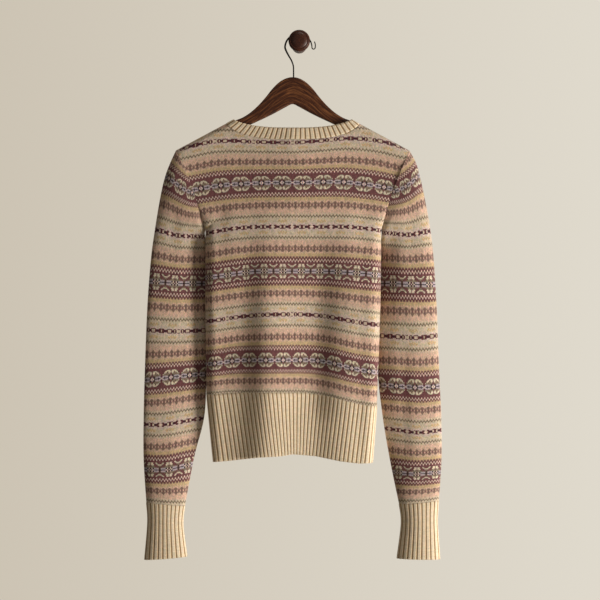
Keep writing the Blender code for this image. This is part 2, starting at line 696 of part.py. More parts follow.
def main():
    for thing in list(bpy.data.objects):
        bpy.data.objects.remove(thing, do_unlink=True)
    back = body_panel(-1, BACK_NECK, BACK_TROUGHS)
    front = body_panel(1, FRONT_NECK, FRONT_TROUGHS)
    add_wall("back", back, BAND_YARN)
    add_wall("front", front, BAND_YARN)
    add_wall("hem_rib_back", hem_rib(-1, back, BACK_TROUGHS), PALE_YARN)
    add_wall("hem_rib_front", hem_rib(1, front, FRONT_TROUGHS), PALE_YARN)
    add_wall("neck_rib", neck_rib(back, front), PALE_YARN, closed=True)
    for word, sign, rings, cuff_rings in (
        ("left", -1, LEFT_SLEEVE, LEFT_CUFF),
        ("right", 1, RIGHT_SLEEVE, RIGHT_CUFF),
    ):
        add_wall(f"sleeve_{word}", sleeve(sign, rings), BAND_YARN, closed=True)
        add_wall(f"cuff_{word}", cuff(rings, cuff_rings), PALE_YARN, closed=True)
    build_hanger()
    build_hook()
    build_peg()


main()
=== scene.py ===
"""Looks of a fair isle jumper that hangs on a wooden hanger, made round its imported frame.

The knitted panels, sleeves and ribs are fine closed walls on the same surfaces as their plain solids, with
the fair isle charted stitch by stitch in their material. Tables are in millimetres; across the jumper they
are measured from its own centreline, which hangs a little to the left of the peg.
"""

import math
from collections import namedtuple

import bmesh
import bpy
import numpy as np
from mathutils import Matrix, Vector


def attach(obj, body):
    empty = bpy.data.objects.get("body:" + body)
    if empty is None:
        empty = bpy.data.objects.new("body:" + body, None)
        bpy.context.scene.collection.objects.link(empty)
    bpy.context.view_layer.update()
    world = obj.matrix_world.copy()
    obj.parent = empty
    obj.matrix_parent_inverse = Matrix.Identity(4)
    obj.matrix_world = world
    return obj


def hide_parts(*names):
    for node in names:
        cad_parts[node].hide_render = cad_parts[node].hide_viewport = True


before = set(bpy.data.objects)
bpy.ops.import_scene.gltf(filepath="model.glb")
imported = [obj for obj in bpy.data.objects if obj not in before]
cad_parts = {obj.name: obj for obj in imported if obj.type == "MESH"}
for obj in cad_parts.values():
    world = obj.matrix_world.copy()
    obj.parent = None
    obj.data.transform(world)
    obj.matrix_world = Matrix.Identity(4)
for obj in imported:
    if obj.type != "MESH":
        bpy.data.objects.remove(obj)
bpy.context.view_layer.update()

MM = 0.001
CENTRELINE_X = -11.0
HANG_Y = -45.0  # the plane of the hook, the hanger and the side seams

# Cloth: the solids' driving sizes, with a finer count of ribs and softer sides
WALL = 2.0
SEAM_GAP = 0.3
NECK_SEAM_GAP = 0.5
# Ribbed bands: how many ribs, whether they go all round, how high they stand and how full their curve is
Band = namedtuple("Band", "ribs closed rise fullness")
HEM = Band(45, False, 0.6, 2.1)
NECK = Band(66, True, 0.65, 2.8)
CUFF = Band(22, True, 0.6, 2.4)
POINTS_PER_RIB = 10
RIB_FADE = (0.35, 0.8)  # share of that height in the first rows of points, by the seam
RIBS_INSIDE = 0.4  # and on a band's inside, where each rib lies behind a furrow
HEM_LINES = 26
NECK_LINES = 8
CUFF_LINES = 22
NECK_HALF = 111.0
NECK_SEAM_Z = -134.8
TIP_HALF = 193.0
TIP_Z = -178.8
SLOPE = math.atan2(NECK_SEAM_Z - TIP_Z, TIP_HALF - NECK_HALF)
FOLD_RADIUS = 9.5  # of the cloth's bend over the hanger's arms
BODY_DEPTH = 26.0  # what the cloth stands out from the middle plane, low down
DEPTH_GROWS = 200.0  # and how far below the bend it has come to that
# How late the body turns in at its sides, by the shoulders and by the hem: higher is later
LEFT_ROUNDING = (9.0, 5.5)
RIGHT_ROUNDING = (13.0, 22.0)
UNDERARM_Z = -312.0
ARMHOLE_DEPTH = 14.5
ARMHOLE_BOW = 4.0
OVAL = 2.5  # power of the armholes' and sleeves' oval sections: 2 is an ellipse
NECK_EDGE_HALF = 98.0
NECK_EDGE_Z = NECK_SEAM_Z + (NECK_HALF - NECK_EDGE_HALF) * math.tan(SLOPE)
Curve = namedtuple("Curve", "half top_z drop x_power z_power")
Neck = namedtuple("Neck", "seam edge")
BACK_NECK = Neck(
    seam=Curve(NECK_HALF, NECK_SEAM_Z, 26.6, 3.2, 1.4),
    edge=Curve(NECK_EDGE_HALF, NECK_EDGE_Z, 14.6, 2.7, 1.3),
)
FRONT_NECK = Neck(
    seam=Curve(NECK_HALF, NECK_SEAM_Z, 88.0, 2.3, 1.2),
    edge=Curve(NECK_EDGE_HALF, NECK_EDGE_Z, 75.0, 2.3, 1.2),
)

# Columns and rows of a panel's grid, as shares, before they are made finer
NECK_ANGLES = (0.0, 0.07, 0.15, 0.24, 0.38, 0.56, 0.78, 1.02, 1.25, 1.43, math.pi / 2)
NECK_COLUMNS = (0.82, 0.79, 0.745, 0.69, 0.615, 0.525, 0.435, 0.34, 0.24, 0.12, 0.0)
SIDE_COLUMNS = (1.0, 0.996, 0.985, 0.966, 0.936, 0.898, 0.86)
NECK_PLACE = 0.575  # where the neck's corner counts as being, for how the panel's edges round in
ARMHOLE_SHARES = (0.0, 0.0086, 0.0323, 0.0645, 0.14, 0.26, 0.40, 0.55, 0.70, 0.85, 0.95, 1.0)
ARMHOLE_ROW = 0.325
HANGS_FREE = (0.14, 0.4)  # below the neck the wall's normals turn to the grid's own, as shares of the armhole
BODY_ROWS_BELOW = 9
COLUMN_STEPS = 4
ROW_SPACING = 2.3
PANEL_HEIGHT = 450.0  # for the number of rows only

Side = namedtuple("Side", "z left right")
SIDE_SEAMS = (
    Side(UNDERARM_Z, -144.5, 147),
    Side(-360, -144.9, 146.8),
    Side(-427, -145, 146),
    Side(-510, -144.5, 143.5),
    Side(-592, -143, 140),
)
Edge = namedtuple("Edge", "x z")
HEM_SEAM = (
    Edge(-143, -584.4),
    Edge(-110, -580.5),
    Edge(-30, -579.3),
    Edge(20, -579.6),
    Edge(59, -585.4),
    Edge(90, -593.3),
    Edge(120, -600.0),
    Edge(140, -601.5),
)
HEM_EDGE = (
    Edge(-132, -695.0),
    Edge(-108, -693.0),
    Edge(-54, -686.0),
    Edge(-18, -684.0),
    Edge(0, -681.0),
    Edge(39, -684.4),
    Edge(79, -692.3),
    Edge(109, -696.0),
    Edge(133, -695.5),
)
HEM_EDGE_DEPTH = 0.9  # the hem draws in to this share of the body's depth
HEM_PINCH_AT = 0.489  # share across where the hem's ribs run together, and how closely, at its free edge
HEM_PINCH = 0.24
HEM_PINCH_REACH = 0.3
HEM_PINCH_ENDS = 0.1

Trough = namedtuple("Trough", "x_top x_hem z_top z_full deep left_width right_width")
BACK_TROUGHS = (
    Trough(-77, -94, -225, -500, 10.5, 44, 28),
    Trough(46, 31, -225, -500, 11, 50, 28),
    Trough(-36, -42, -225, -500, -3.5, 22, 30),
    Trough(120, 118, -225, -500, -6, 46, 22),
    Trough(120, 118, -420, -560, 4, 46, 22),
    Trough(31, 31, -585, -640, -4.5, 50, 28),
    Trough(-120, -112, -250, -290, 2.5, 16, 16),
    Trough(120, 112, -250, -290, 2.5, 16, 16),
)
FRONT_TROUGHS = (
    Trough(-45, -52, -420, -570, 7, 22, 22),
    Trough(70, 62, -450, -570, 6, 22, 22),
)

Ring = namedtuple("Ring", "outer_x outer_z inner_x inner_z depth bow")
LEFT_SLEEVE = (
    Ring(-203, -200, -145.6, -316, 16, 2.4),
    Ring(-211.5, -223, -144.9, -322, 18.5, 0.9),
    Ring(-219, -255, -144.2, -332, 20.5, 0),
    Ring(-228, -308, -143.8, -350, 22.5, 0),
    Ring(-235, -360, -143.6, -385, 22.5, 0),
    Ring(-241, -440, -143.4, -448, 21, 0),
    Ring(-245, -543, -143.5, -540, 19, 0),
    Ring(-247, -620, -146.5, -618, 18, 0),
    Ring(-247, -691, -163, -686, 17, 0),
    Ring(-242.5, -762, -178.5, -768, 15, 0),
)
RIGHT_SLEEVE = (
    Ring(204, -198, 148, -316, 16, 2.4),
    Ring(211, -222, 147.4, -322, 18.5, 0.9),
    Ring(218.5, -255, 146.6, -332, 20.5, 0),
    Ring(228, -308, 146, -350, 22.5, 0),
    Ring(234, -360, 145.4, -385, 22.5, 0),
    Ring(239, -440, 144.4, -448, 21, 0),
    Ring(243, -543, 141.6, -540, 19, 0),
    Ring(246.5, -620, 149, -615, 18, 0),
    Ring(247, -691, 162, -694, 17, 0),
    Ring(242.5, -759, 176.5, -765, 15, 0),
)
Hollow = namedtuple("Hollow", "x z reach deep half_width")
SLEEVE_HOLLOWS = (
    Hollow(-192, -540, 95, 4, 13),
    Hollow(-196, -330, 60, 2.5, 12),
    Hollow(186, -560, 110, 4, 13),
    Hollow(196, -340, 60, 2.5, 12),
)
LEFT_CUFF = (
    Ring(-240.5, -796, -181.5, -800, 14.5, 0),
    Ring(-245.5, -857, -175, -852, 16, 0),
)
RIGHT_CUFF = (
    Ring(240.5, -796, 180, -798, 14.5, 0),
    Ring(244.5, -856, 173, -855, 16, 0),
)
RING_SPACING = 2.6
SLEEVE_TUCK = 9.0  # the inner edge hangs this much nearer the wall than the body's side
LEFT_SUNK = 0.6  # share of its fullness that a sleeve's side towards the viewer loses as it hangs
RIGHT_SUNK = 0.38
TUCK_TOP = -248.0  # by the height of a ring's middle
TUCK_FULL = -335.0
CUFF_ROUNDS = (-640.0, -760.0)  # heights between which most of the tuck goes out again
TUCK_LOST = 0.7  # and how much of it
TUCK_FROM = 0.45  # share across a sleeve where its tuck starts
RING_COLUMNS = 48  # points across each side of a sleeve

# Knitting gauge and the fair isle's order down the cloth, in courses from the first flower band's middle
Gauge = namedtuple("Gauge", "z stitch")
BODY_GAUGE = (
    Gauge(-570.0, 1.19),
    Gauge(-500.0, 1.215),
    Gauge(-380.0, 1.28),
    Gauge(-265.0, 1.36),
    Gauge(-210.0, 1.46),
)
SLEEVE_STITCH = 1.29  # width of a stitch
RIB_COURSE = 1.42  # height of one
LEG_RISE = 1.3  # courses that a stitch's leg would climb over a whole stitch's width
HALF_PERIOD = 52  # courses from the middle of a band to the middle of a stripe

# Where courses run: each line is the middle of one band or stripe, as points x, z
CourseLine = namedtuple("CourseLine", "course points")
BODY_COURSES = (
    CourseLine(-52, ((-192, -179), (-133, -165), (-100, -164), (-67, -166), (1, -168),
                     (52, -164), (85, -160), (120, -161), (153, -166), (190, -177))),
    CourseLine(0, ((-170, -247), (-136, -240.5), (-113, -237.5), (-78, -235.5), (-40, -234),
                   (17, -234), (55, -232.5), (83, -232.5), (111, -235.5), (141, -239), (172, -246))),
    CourseLine(52, ((-145, -318), (-126, -314.5), (-98, -309.5), (-60, -307), (93, -307),
                    (131, -310.5), (156, -315))),
    CourseLine(104, ((-143, -391), (-116, -387.5), (-88, -383.5), (-60, -380), (55, -380),
                     (83, -381.5), (111, -383.5), (149, -387))),
    CourseLine(156, ((-143, -463), (-126, -461), (-98, -456.5), (-68, -453), (-32, -451),
                     (17, -451), (55, -454), (83, -459.5), (111, -465), (144, -469))),
    CourseLine(208, ((-143, -534), (-116, -531), (-98, -527.5), (-68, -526.5), (35, -526.5),
                     (65, -531), (93, -539), (121, -544.5), (143, -547.5))),
    CourseLine(247, ((-143, -581.5), (-110, -577.5), (-30, -576.3), (20, -576.8), (59, -582.5),
                     (90, -590.5), (120, -597), (140, -598.5))),
)
LEFT_SLEEVE_COURSES = (
    CourseLine(0, ((-213, -220), (-176, -247.5), (-165, -252))),
    CourseLine(52, ((-227, -310.5), (-192, -321.5), (-147, -322.5))),
    CourseLine(104, ((-236, -396), (-192, -400.5), (-147, -400))),
    CourseLine(156, ((-244, -476.5), (-197, -480), (-149, -478))),
    CourseLine(208, ((-244, -561), (-192, -554), (-154, -550.5))),
    CourseLine(260, ((-246, -633), (-218, -635), (-150, -623.5))),
    CourseLine(312, ((-244, -708), (-208, -709), (-166, -699))),
    CourseLine(351, ((-243, -757), (-210, -760), (-176, -761))),
)
RIGHT_SLEEVE_COURSES = (
    CourseLine(0, ((166, -250), (176, -245), (192, -238.5), (205, -226), (213, -214))),
    CourseLine(52, ((158, -316), (192, -321), (228, -313))),
    CourseLine(104, ((152, -400), (216, -402.5), (237, -401.5))),
    CourseLine(156, ((150, -487), (207, -490.5), (241, -486))),
    CourseLine(208, ((148, -568.5), (216, -573), (241, -570))),
    CourseLine(260, ((152, -640), (209, -647.5), (245, -642.5))),
    CourseLine(312, ((167, -712.5), (199, -715.5), (243, -712.5))),
    CourseLine(351, ((174, -759), (210, -758), (243, -754))),
)
COURSE_EASE = 12.0  # the lines' corners are rounded over this much either way
COURSE_STEP = 2.0
WIDEST = 260.0  # x beyond the sleeves' outer edges

# Yarns by letter: dyed Shetland wools
YARNS = {
    "m": "704548",  # maroon
    "n": "2e2230",  # navy
    "l": "b5a8af",  # lavender
    "c": "d9ceb6",  # pale sage cream, the petals' edges
    "o": "8a7c6c",  # grey olive, inside the petals
    "r": "ecd5c7",  # pale rose, the zigzags
    "t": "c4ab85",  # tan
    "p": "d3b29d",  # pink
    "g": "7b655b",  # grey brown, the diamonds
    "q": "94776c",  # fawn, round the diamonds
    "k": "cebda6",  # cream
    "s": "6c5a44",  # sage
    "i": "d2bdb4",  # lilac
    "d": "5f3237",  # plum, the stripes
    "y": "c6a87e",  # straw dots
    "b": "765b4d",  # bark brown, deep in the petals
}
YARN_SLOTS = 16
YARNS_IN_ROW = 4
MASK_BITS = 23  # stitches that one mask holds
CHART_ROWS = 64  # steps of each chart's ramp

# Charts: one string a course, from the panel's middle column out, then mirrored and repeated
FLOWER_BAND = (
    "rrnnnnnnnnrrn",
    "mlllnllllnnrl",
    "nmllllllonnml",
    "mmooooooobnbm",
    "mmcoobbbooomm",
    "mmmocooobocom",
    "mmmmcccbbcccm",
    "mmmmmcccbcccm",
    "mmmmmmoccccom",
    "m",
    "m",
    "m",
    "rmm",
    "rqm",
    "mqr",
    "mmr",
    "tmm",
    "tqm",
)
DIAMOND_BAND = (
    "nnnnnnnnrrnnr",
    "nbllllllnnrbn",
    "nbllllllnnrbn",
    "nbmmobooooooo",
    "obmmmmbbooobm",
    "ooommmmmocoom",
    "cccommmmccccm",
    "mmoccmmmmcccm",
    "mmmmccmmmcccm",
    "m",
    "m",
    "rmm",
    "rqm",
    "mqr",
    "mmr",
    "m",
    "tmm",
    "tqm",
)
BETWEEN_BANDS = (
    "t",
    "t",
    "t",
    "ttp",
    "tpppp",
    "tppqg",
    "qpqgg",
    "qqqgg",
    "mqpqm",
    "mqpqm",
    "qqqgg",
    "qpqgg",
    "pppqg",
    "ppppg",
    "p",
    "p",
    "p",
    "p",
    "ppk",
    "pkk",
    "kks",
    "kos",
    "sok",
    "skk",
    "k",
    "k",
    "kkkkkkkkyykky",
    "kkkkkkkyyykyy",
    "kkkkkkkykyyyk",
    "kiiikkkkkkkyk",
)
BOW_STRIPE = (
    "kkiikkkkkiikk",
    "iiiiiikkiiiii",
    "iidddiiiidddd",
    "kkdddddddkkdd",
    "rrrddnnnnkrdd",
)
CHAIN_STRIPE = (
    "kkkkikkkkkkiiiikkkkkiik",
    "iikiiikkiiiiiiiikkiiiii",
    "ddiidddiiddddddiiiidddd",
    "kkkddkdnddkkkkddddddddk",
    "kkkddkdnddkkkkddnnnnddk",
)
BETWEEN_START = len(FLOWER_BAND)
STRIPE_START = HALF_PERIOD + 1 - len(BOW_STRIPE)
UNMIRRORED = ("ttp", "ppk", "pkk")

# Hanger
Arm = namedtuple("Arm", "x top bottom half_thickness")
HANGER_MIDDLE = (
    Arm(0, -57.8, -102, 6),
    Arm(11, -59.8, -106.8, 6),
    Arm(22, -66, -112.8, 6),
    Arm(34, -77.6, -119.2, 6),
    Arm(45, -91.5, -124.6, 6),
    Arm(56.5, -104.3, -130, 5.8),
    Arm(68, -114.8, -135.4, 5.8),
    Arm(82, -124.2, -142.4, 5.8),
)
HANGER_CLEARANCE = 0.5
HANGER_ARM_X = (98.0, 115.0, 135.0, 156.0, 172.0, 182.0)
HANGER_ARM_HEIGHT = (19.5, 13.5)
HANGER_ARM_HALF = (5.8, 5.8, 5.8, 5.6, 5.2, 4.2)
HANGER_END_X = 186.0
HANGER_END_SHARE = 0.45
HANGER_EDGE_ROUND = 3.2
HANGER_STATIONS = 260
HANGER_CROWDING = 0.96  # how far the stations draw together towards the ends: 1 at most

# Wire hook
HOOK_BEND_X = -1.2
HOOK_BEND_Z = -8.25
HOOK_BEND_RADIUS = 22.3
STEM_X = -9.4
STEM_ROUTE = ((STEM_X, -47.0), (-9.8, -39.0), (-12.6, -30.5), (-17.4, -22.0), (-21.6, -14.0))
BEND_POINTS = 25
CURL_RADIUS = 2.7
CURL_POINTS = 8
CURL_END = ((26.6, -3.0), (25.2, 1.5))
WIRE_STEM = 1.15  # radius where it enters the wood
WIRE_BEND = 1.5
WIRE_TIP = 0.9
WIRE_SIDES = 14
HOOK_STATIONS = 220

# Peg, turned
PEG_SHANK_RADIUS = 12.2
Turned = namedtuple("Turned", "radius out")
PEG_PROFILE = (
    Turned(0, 0),
    Turned(PEG_SHANK_RADIUS, 0),
    Turned(PEG_SHANK_RADIUS, 56.5),
    Turned(15.6, 57.4),
    Turned(17.3, 59.4),
    Turned(17.7, 62.5),
    Turned(17.7, 68),
    Turned(16.9, 71),
    Turned(15.2, 72.8),
    Turned(13.4, 72.6),
    Turned(12.2, 73.8),
    Turned(7, 75),
    Turned(0, 75.2),
)
PEG_STEPS = 96


# ---------------------------------------------------------------- the cloth's surfaces


def smooth(t):
    t = np.clip(t, 0.0, 1.0)
    return t * t * (3.0 - 2.0 * t)


def unit(vectors):
    return vectors / np.linalg.norm(vectors, axis=-1, keepdims=True)


def along(edge, x):
    return np.interp(x, [p.x for p in edge], [p.z for p in edge])


def shoulder_z(x):
    return NECK_SEAM_Z + (NECK_HALF - np.abs(x)) * math.tan(SLOPE)


def hanging_depth(x, z):
    """How far the cloth stands out from the plane of the side seams, before its edges round in."""
    drop = np.maximum((shoulder_z(x) - z) * math.cos(SLOPE), 0.0)
    on_fold = FOLD_RADIUS - np.minimum(drop, FOLD_RADIUS)
    fold = np.sqrt(FOLD_RADIUS**2 - on_fold**2)
    return fold + (BODY_DEPTH - FOLD_RADIUS) * smooth((drop - FOLD_RADIUS) / DEPTH_GROWS)


def hanging_normal(x, z, facing):
    """The way that the hanging cloth faces: upwards and outwards over the hanger, as steeply as it falls."""
    step = 1e-3
    drop = np.maximum((shoulder_z(x) - z) * math.cos(SLOPE), step)
    below = (hanging_depth(x, z - step) - hanging_depth(x, z)) / step / math.cos(SLOPE)
    on_fold = np.maximum(FOLD_RADIUS - drop, 1e-6)
    steep = np.where(drop < FOLD_RADIUS, on_fold / np.sqrt(FOLD_RADIUS**2 - on_fold**2), below)
    aside = np.sign(x) * math.sin(SLOPE) * steep
    return unit(np.stack([aside, np.full_like(steep, facing), math.cos(SLOPE) * steep], -1))


def folded_in(troughs, x, z):
    total = np.zeros(np.broadcast(x, z).shape)
    for fold in troughs:
        down = smooth((fold.z_top - z) / (fold.z_top - fold.z_full))
        place = np.clip((fold.z_top - z) / (fold.z_top - HEM_EDGE[0].z), 0.0, 1.0)
        middle = fold.x_top + (fold.x_hem - fold.x_top) * place
        width = np.where(x < middle, fold.left_width, fold.right_width)
        total += fold.deep * down * np.exp(-(((x - middle) / width) ** 2))
    return total


def oval(share):
    return (1.0 - np.abs(2.0 * share - 1.0) ** OVAL) ** (1.0 / OVAL)


def bowed(start, end, bow, shares, wall):
    """x and z at shares of a line that bows towards the body, a wall's thickness in from its two ends."""
    start, end = np.array(start), np.array(end)
    length = np.linalg.norm(end - start)
    down = (end - start) / length
    inwards = np.array([down[1], -down[0]]) * np.sign(-down[1] * start[0])
    run = wall + shares * (length - 2 * wall)
    reach = bow * np.sin(np.pi * run / length)
    return [start[k] + down[k] * run + inwards[k] * reach for k in (0, 1)]


def armhole_point(sign, share, wall=0.0):
    """x, z and depth at a share of the armhole seam, from the shoulder tip down to the underarm."""
    side_x = SIDE_SEAMS[0].left if sign < 0 else SIDE_SEAMS[0].right
    x, z = bowed((sign * TIP_HALF, TIP_Z), (side_x, UNDERARM_Z), ARMHOLE_BOW, share, wall)
    return x, z, (ARMHOLE_DEPTH - wall) * oval(share)


def neck_point(angle, curve):
    x = curve.half * np.maximum(np.cos(angle), 0.0) ** (2.0 / curve.x_power)
    return x, curve.top_z - curve.drop * np.sin(angle) ** (2.0 / curve.z_power)


def finer(values, steps):
    """The values with each gap split into equal steps; steps is one number or one for each gap."""
    values = np.asarray(values, float)
    many = np.broadcast_to(steps, len(values) - 1)
    out = [values[:1]]
    for start, end, count in zip(values, values[1:], many):
        out.append(start + (end - start) * np.arange(1, count + 1) / count)
    return np.concatenate(out)


def columns():
    """Each fine column's place across the half widths, -1 to 1, and its angle round the neck or nan."""
    side = finer(SIDE_COLUMNS + (NECK_COLUMNS[0],), COLUMN_STEPS)[:-1]
    neck = finer(NECK_COLUMNS, COLUMN_STEPS)
    angle = finer(NECK_ANGLES, COLUMN_STEPS)
    half = np.concatenate([side, neck])
    angles = np.concatenate([np.full(len(side), np.nan), angle])
    return np.concatenate([-half, half[-2::-1]]), np.concatenate([angles, angles[-2::-1]])


def rows():
    below = (1.0 - ARMHOLE_ROW) / BODY_ROWS_BELOW
    shares = [ARMHOLE_ROW * share for share in ARMHOLE_SHARES]
    shares += [ARMHOLE_ROW + below * (i + 1) for i in range(BODY_ROWS_BELOW)]
    steps = [max(1, round(gap * PANEL_HEIGHT / ROW_SPACING)) for gap in np.diff(shares)]
    return finer(shares, steps)


def side_points(sign, lines):
    """x, z and depth down a panel's side edge, one row for each line of its grid."""
    hem_z = HEM_SEAM[0].z if sign < 0 else HEM_SEAM[-1].z
    heights = [-side.z for side in SIDE_SEAMS]
    widths = [side.left if sign < 0 else side.right for side in SIDE_SEAMS]
    z = UNDERARM_Z + (hem_z - UNDERARM_Z) * (lines - ARMHOLE_ROW) / (1.0 - ARMHOLE_ROW)
    side = np.stack([np.interp(-z, heights, widths), z, np.zeros(len(z))], -1)
    armhole = np.stack(armhole_point(sign, np.minimum(lines / ARMHOLE_ROW, 1.0)), -1)
    return np.where(beside_armhole(lines)[:, None], armhole, side)


def beside_armhole(lines):
    return lines <= ARMHOLE_ROW + 1e-9


def beyond_neck(place):
    """Share of the way along the shoulder, from the neck's corner to the tip."""
    return np.clip((np.abs(place) - NECK_COLUMNS[0]) / (1.0 - NECK_COLUMNS[0]), 0.0, 1.0)


def top_points(place, angle, neck):
    side_x = NECK_HALF + (TIP_HALF - NECK_HALF) * beyond_neck(place)
    on_neck = ~np.isnan(angle)
    x, z = neck_point(np.nan_to_num(angle), neck.seam)
    x = np.where(on_neck, x, side_x)
    z = np.where(on_neck, z, shoulder_z(side_x))
    return np.stack([np.sign(place) * x, z], -1)


def hem_points(place, edge):
    x = edge[0].x + (edge[-1].x - edge[0].x) * (place + 1.0) / 2.0
    return np.stack([x, along(edge, x)], -1)


def rounded_place(place, down):
    """A column's place for the rounding of the edges: by the shoulders at the top, by the hem lower down."""
    high = np.sign(place) * np.interp(np.abs(place), (0.0, NECK_COLUMNS[0], 1.0), (0.0, NECK_PLACE, 1.0))
    return (1.0 - down) * high + down * place


def rounding(place, down):
    left, right = (np.interp(down, (0.0, 1.0), powers) for powers in (LEFT_ROUNDING, RIGHT_ROUNDING))
    power = np.where(place < 0, left, right)
    return np.sqrt(np.maximum(1.0 - np.abs(place) ** power, 0.0))


def grid_normals(grid, facing):
    normals = np.cross(np.gradient(grid, axis=1), np.gradient(grid, axis=0))
    normals *= facing * np.sign(normals[:, :, 1].sum())
    return unit(normals)


def plan_normals(line, facing):
    """Outward normals of a line of points as seen from above, square to X at its two ends."""
    run = np.gradient(line, axis=0)
    normals = np.stack([-run[:, 1], run[:, 0], np.zeros(len(line))], axis=1)
    normals *= facing * np.sign(normals[:, 1].sum())
    normals = unit(normals)
    normals[0], normals[-1] = (-1.0, 0.0, 0.0), (1.0, 0.0, 0.0)
    return normals


def body_panel(facing, neck, troughs):
    """Outer and inner grids of a panel. facing is -1 for the back, which faces the viewer, else 1."""
    place, angle = columns()
    lines = rows()
    left, right = side_points(-1, lines), side_points(1, lines)
    down = lines[:, None, None]
    flat = (1 - down) * top_points(place, angle, neck)[None] + down * hem_points(place, HEM_SEAM)[None]
    for edge, is_here in ((left, place < 0), (right, place > 0)):
        bulge = edge[:, None, :2] - (1 - down) * edge[0, :2] - down * edge[-1, :2]
        flat = flat + (beyond_neck(place) * is_here)[None, :, None] * bulge
    x, z = flat[..., 0], flat[..., 1]
    edge = np.where(place[None] < 0, left[:, 2:3], right[:, 2:3])
    full = rounding(rounded_place(place[None], lines[:, None]), lines[:, None])
    depth = edge + (hanging_depth(x, z) - edge) * full - folded_in(troughs, x, z) * full
    depth = np.maximum(depth, SEAM_GAP / 2)
    on_shoulder = np.isnan(angle) | (angle == 0.0)
    depth[0, on_shoulder] = SEAM_GAP / 2
    outer = np.stack([x, HANG_Y + facing * depth, z], -1)
    normals = grid_normals(outer, facing)
    beside_neck = ~np.isnan(angle)
    start, end = (ARMHOLE_ROW * share for share in HANGS_FREE)
    near = (1.0 - smooth((lines - start) / (end - start)))[:, None, None]
    hung = hanging_normal(x, z, facing)
    normals[:, beside_neck] = unit(near * hung[:, beside_neck] + (1 - near) * normals[:, beside_neck])
    inner = outer - WALL * normals
    inner[-1] = outer[-1] - WALL * plan_normals(outer[-1], facing)
    armhole = beside_armhole(lines)
    for sign, j in ((-1, 0), (1, -1)):
        inner[:, j] = outer[:, j] - [sign * WALL, 0.0, 0.0]
        x, z, edge_depth = armhole_point(sign, np.minimum(lines[armhole] / ARMHOLE_ROW, 1.0), WALL)
        inner[armhole, j] = np.stack([x, HANG_Y + facing * np.maximum(edge_depth, SEAM_GAP / 2), z], -1)
    for j in np.flatnonzero(on_shoulder & (np.abs(place) < 1.0)):
        sign = -1.0 if place[j] < 0 else 1.0
        inner[0, j] = outer[0, j] - WALL * np.array([sign * math.sin(SLOPE), 0.0, math.cos(SLOPE)])
    return outer, inner


def run_lengths(points, axis=0):
    """The length run to each point, from the first, along one way of a line or grid of points."""
    steps = np.linalg.norm(np.diff(points, axis=axis), axis=-1)
    first = np.zeros_like(np.take(steps, [0], axis=axis))
    return np.concatenate([first, np.cumsum(steps, axis=axis)], axis=axis)


def resample(line, guide, count, closed, pinch=0.0):
    """The line's points at even steps along the guide, which has as many points, or pinched together."""
    if closed:
        line, guide = np.vstack([line, line[:1]]), np.vstack([guide, guide[:1]])
    run = run_lengths(guide)
    shares = np.linspace(0.0, 1.0, count + 1)[: count if closed else count + 1]
    off = shares - HEM_PINCH_AT
    ends = smooth(shares / HEM_PINCH_ENDS) * smooth((1.0 - shares) / HEM_PINCH_ENDS)
    places = run[-1] * (shares - pinch * ends * off * np.exp(-((off / HEM_PINCH_REACH) ** 2)))
    return np.stack([np.interp(places, run, line[:, k]) for k in range(3)], axis=1)


def hem_rib(facing, panel, troughs):
    """Plain grids of the hem, from the panel's lower edge down to its free edge."""
    place, _ = columns()
    outer = [panel[0][-1] - [0.0, 0.0, SEAM_GAP]]
    inner = [panel[1][-1] - [0.0, 0.0, SEAM_GAP]]
    seam, free = hem_points(place, HEM_SEAM), hem_points(place, HEM_EDGE)
    for share in np.linspace(0.0, 1.0, HEM_LINES)[1:]:
        x, z = (seam + (free - seam) * share).T
        depth = (BODY_DEPTH - folded_in(troughs, x, z)) * rounding(place, 1.0)
        depth *= 1.0 + (HEM_EDGE_DEPTH - 1.0) * share
        line = np.stack([x, HANG_Y + facing * np.maximum(depth, SEAM_GAP / 2), z], -1)
        outer.append(line)
        inner.append(line - WALL * plan_normals(line, facing))
    count = HEM.ribs * POINTS_PER_RIB
    pinches = HEM_PINCH * np.linspace(0.0, 1.0, HEM_LINES)
    return [
        np.array([resample(a, b, count, False, pinch) for a, b, pinch in zip(side, outer, pinches)])
        for side in (outer, inner)
    ]


def neck_band(back, front):
    """Plain grids of the neck band's closed loop, from both panels' neck edges out to its free edge."""
    place, angle = columns()
    on_neck = np.flatnonzero(~np.isnan(angle))
    outer_seam, inner_seam = (
        np.vstack([back[side][0][on_neck], front[side][0][on_neck][::-1]]) for side in (0, 1)
    )
    edge = []
    for facing, neck, order in ((-1, BACK_NECK, on_neck), (1, FRONT_NECK, on_neck[::-1])):
        x, z = neck_point(angle[order], neck.edge)
        depth = np.where(angle[order] > 0, hanging_depth(x, z), SEAM_GAP / 2)
        edge.append(np.stack([np.sign(place[order]) * x, HANG_Y + facing * depth, z], -1))
    outer_edge = np.vstack(edge)
    gap = NECK_SEAM_GAP * unit(outer_edge - outer_seam)
    inner_edge = outer_edge - (outer_seam - inner_seam)
    count = NECK.ribs * POINTS_PER_RIB
    seams = [resample(line + gap, outer_seam, count, True) for line in (outer_seam, inner_seam)]
    edges = [resample(line, outer_edge, count, True) for line in (outer_edge, inner_edge)]
    grids = []
    for seam, free in zip(seams, edges):
        shares = np.linspace(0.0, 1.0, NECK_LINES)[:, None, None]
        grids.append(seam[None] * (1 - shares) + free[None] * shares)
    return grids


def ease_between(stations, i, t):
    near = [stations[min(max(i + k, 0), len(stations) - 1)] for k in (-1, 0, 1, 2)]
    before, start, end, after = (np.array(ring) for ring in near)
    middle = 2 * start + (end - before) * t + (2 * before - 5 * start + 4 * end - after) * t**2
    return Ring(*0.5 * (middle + (3 * start - before - 3 * end + after) * t**3))


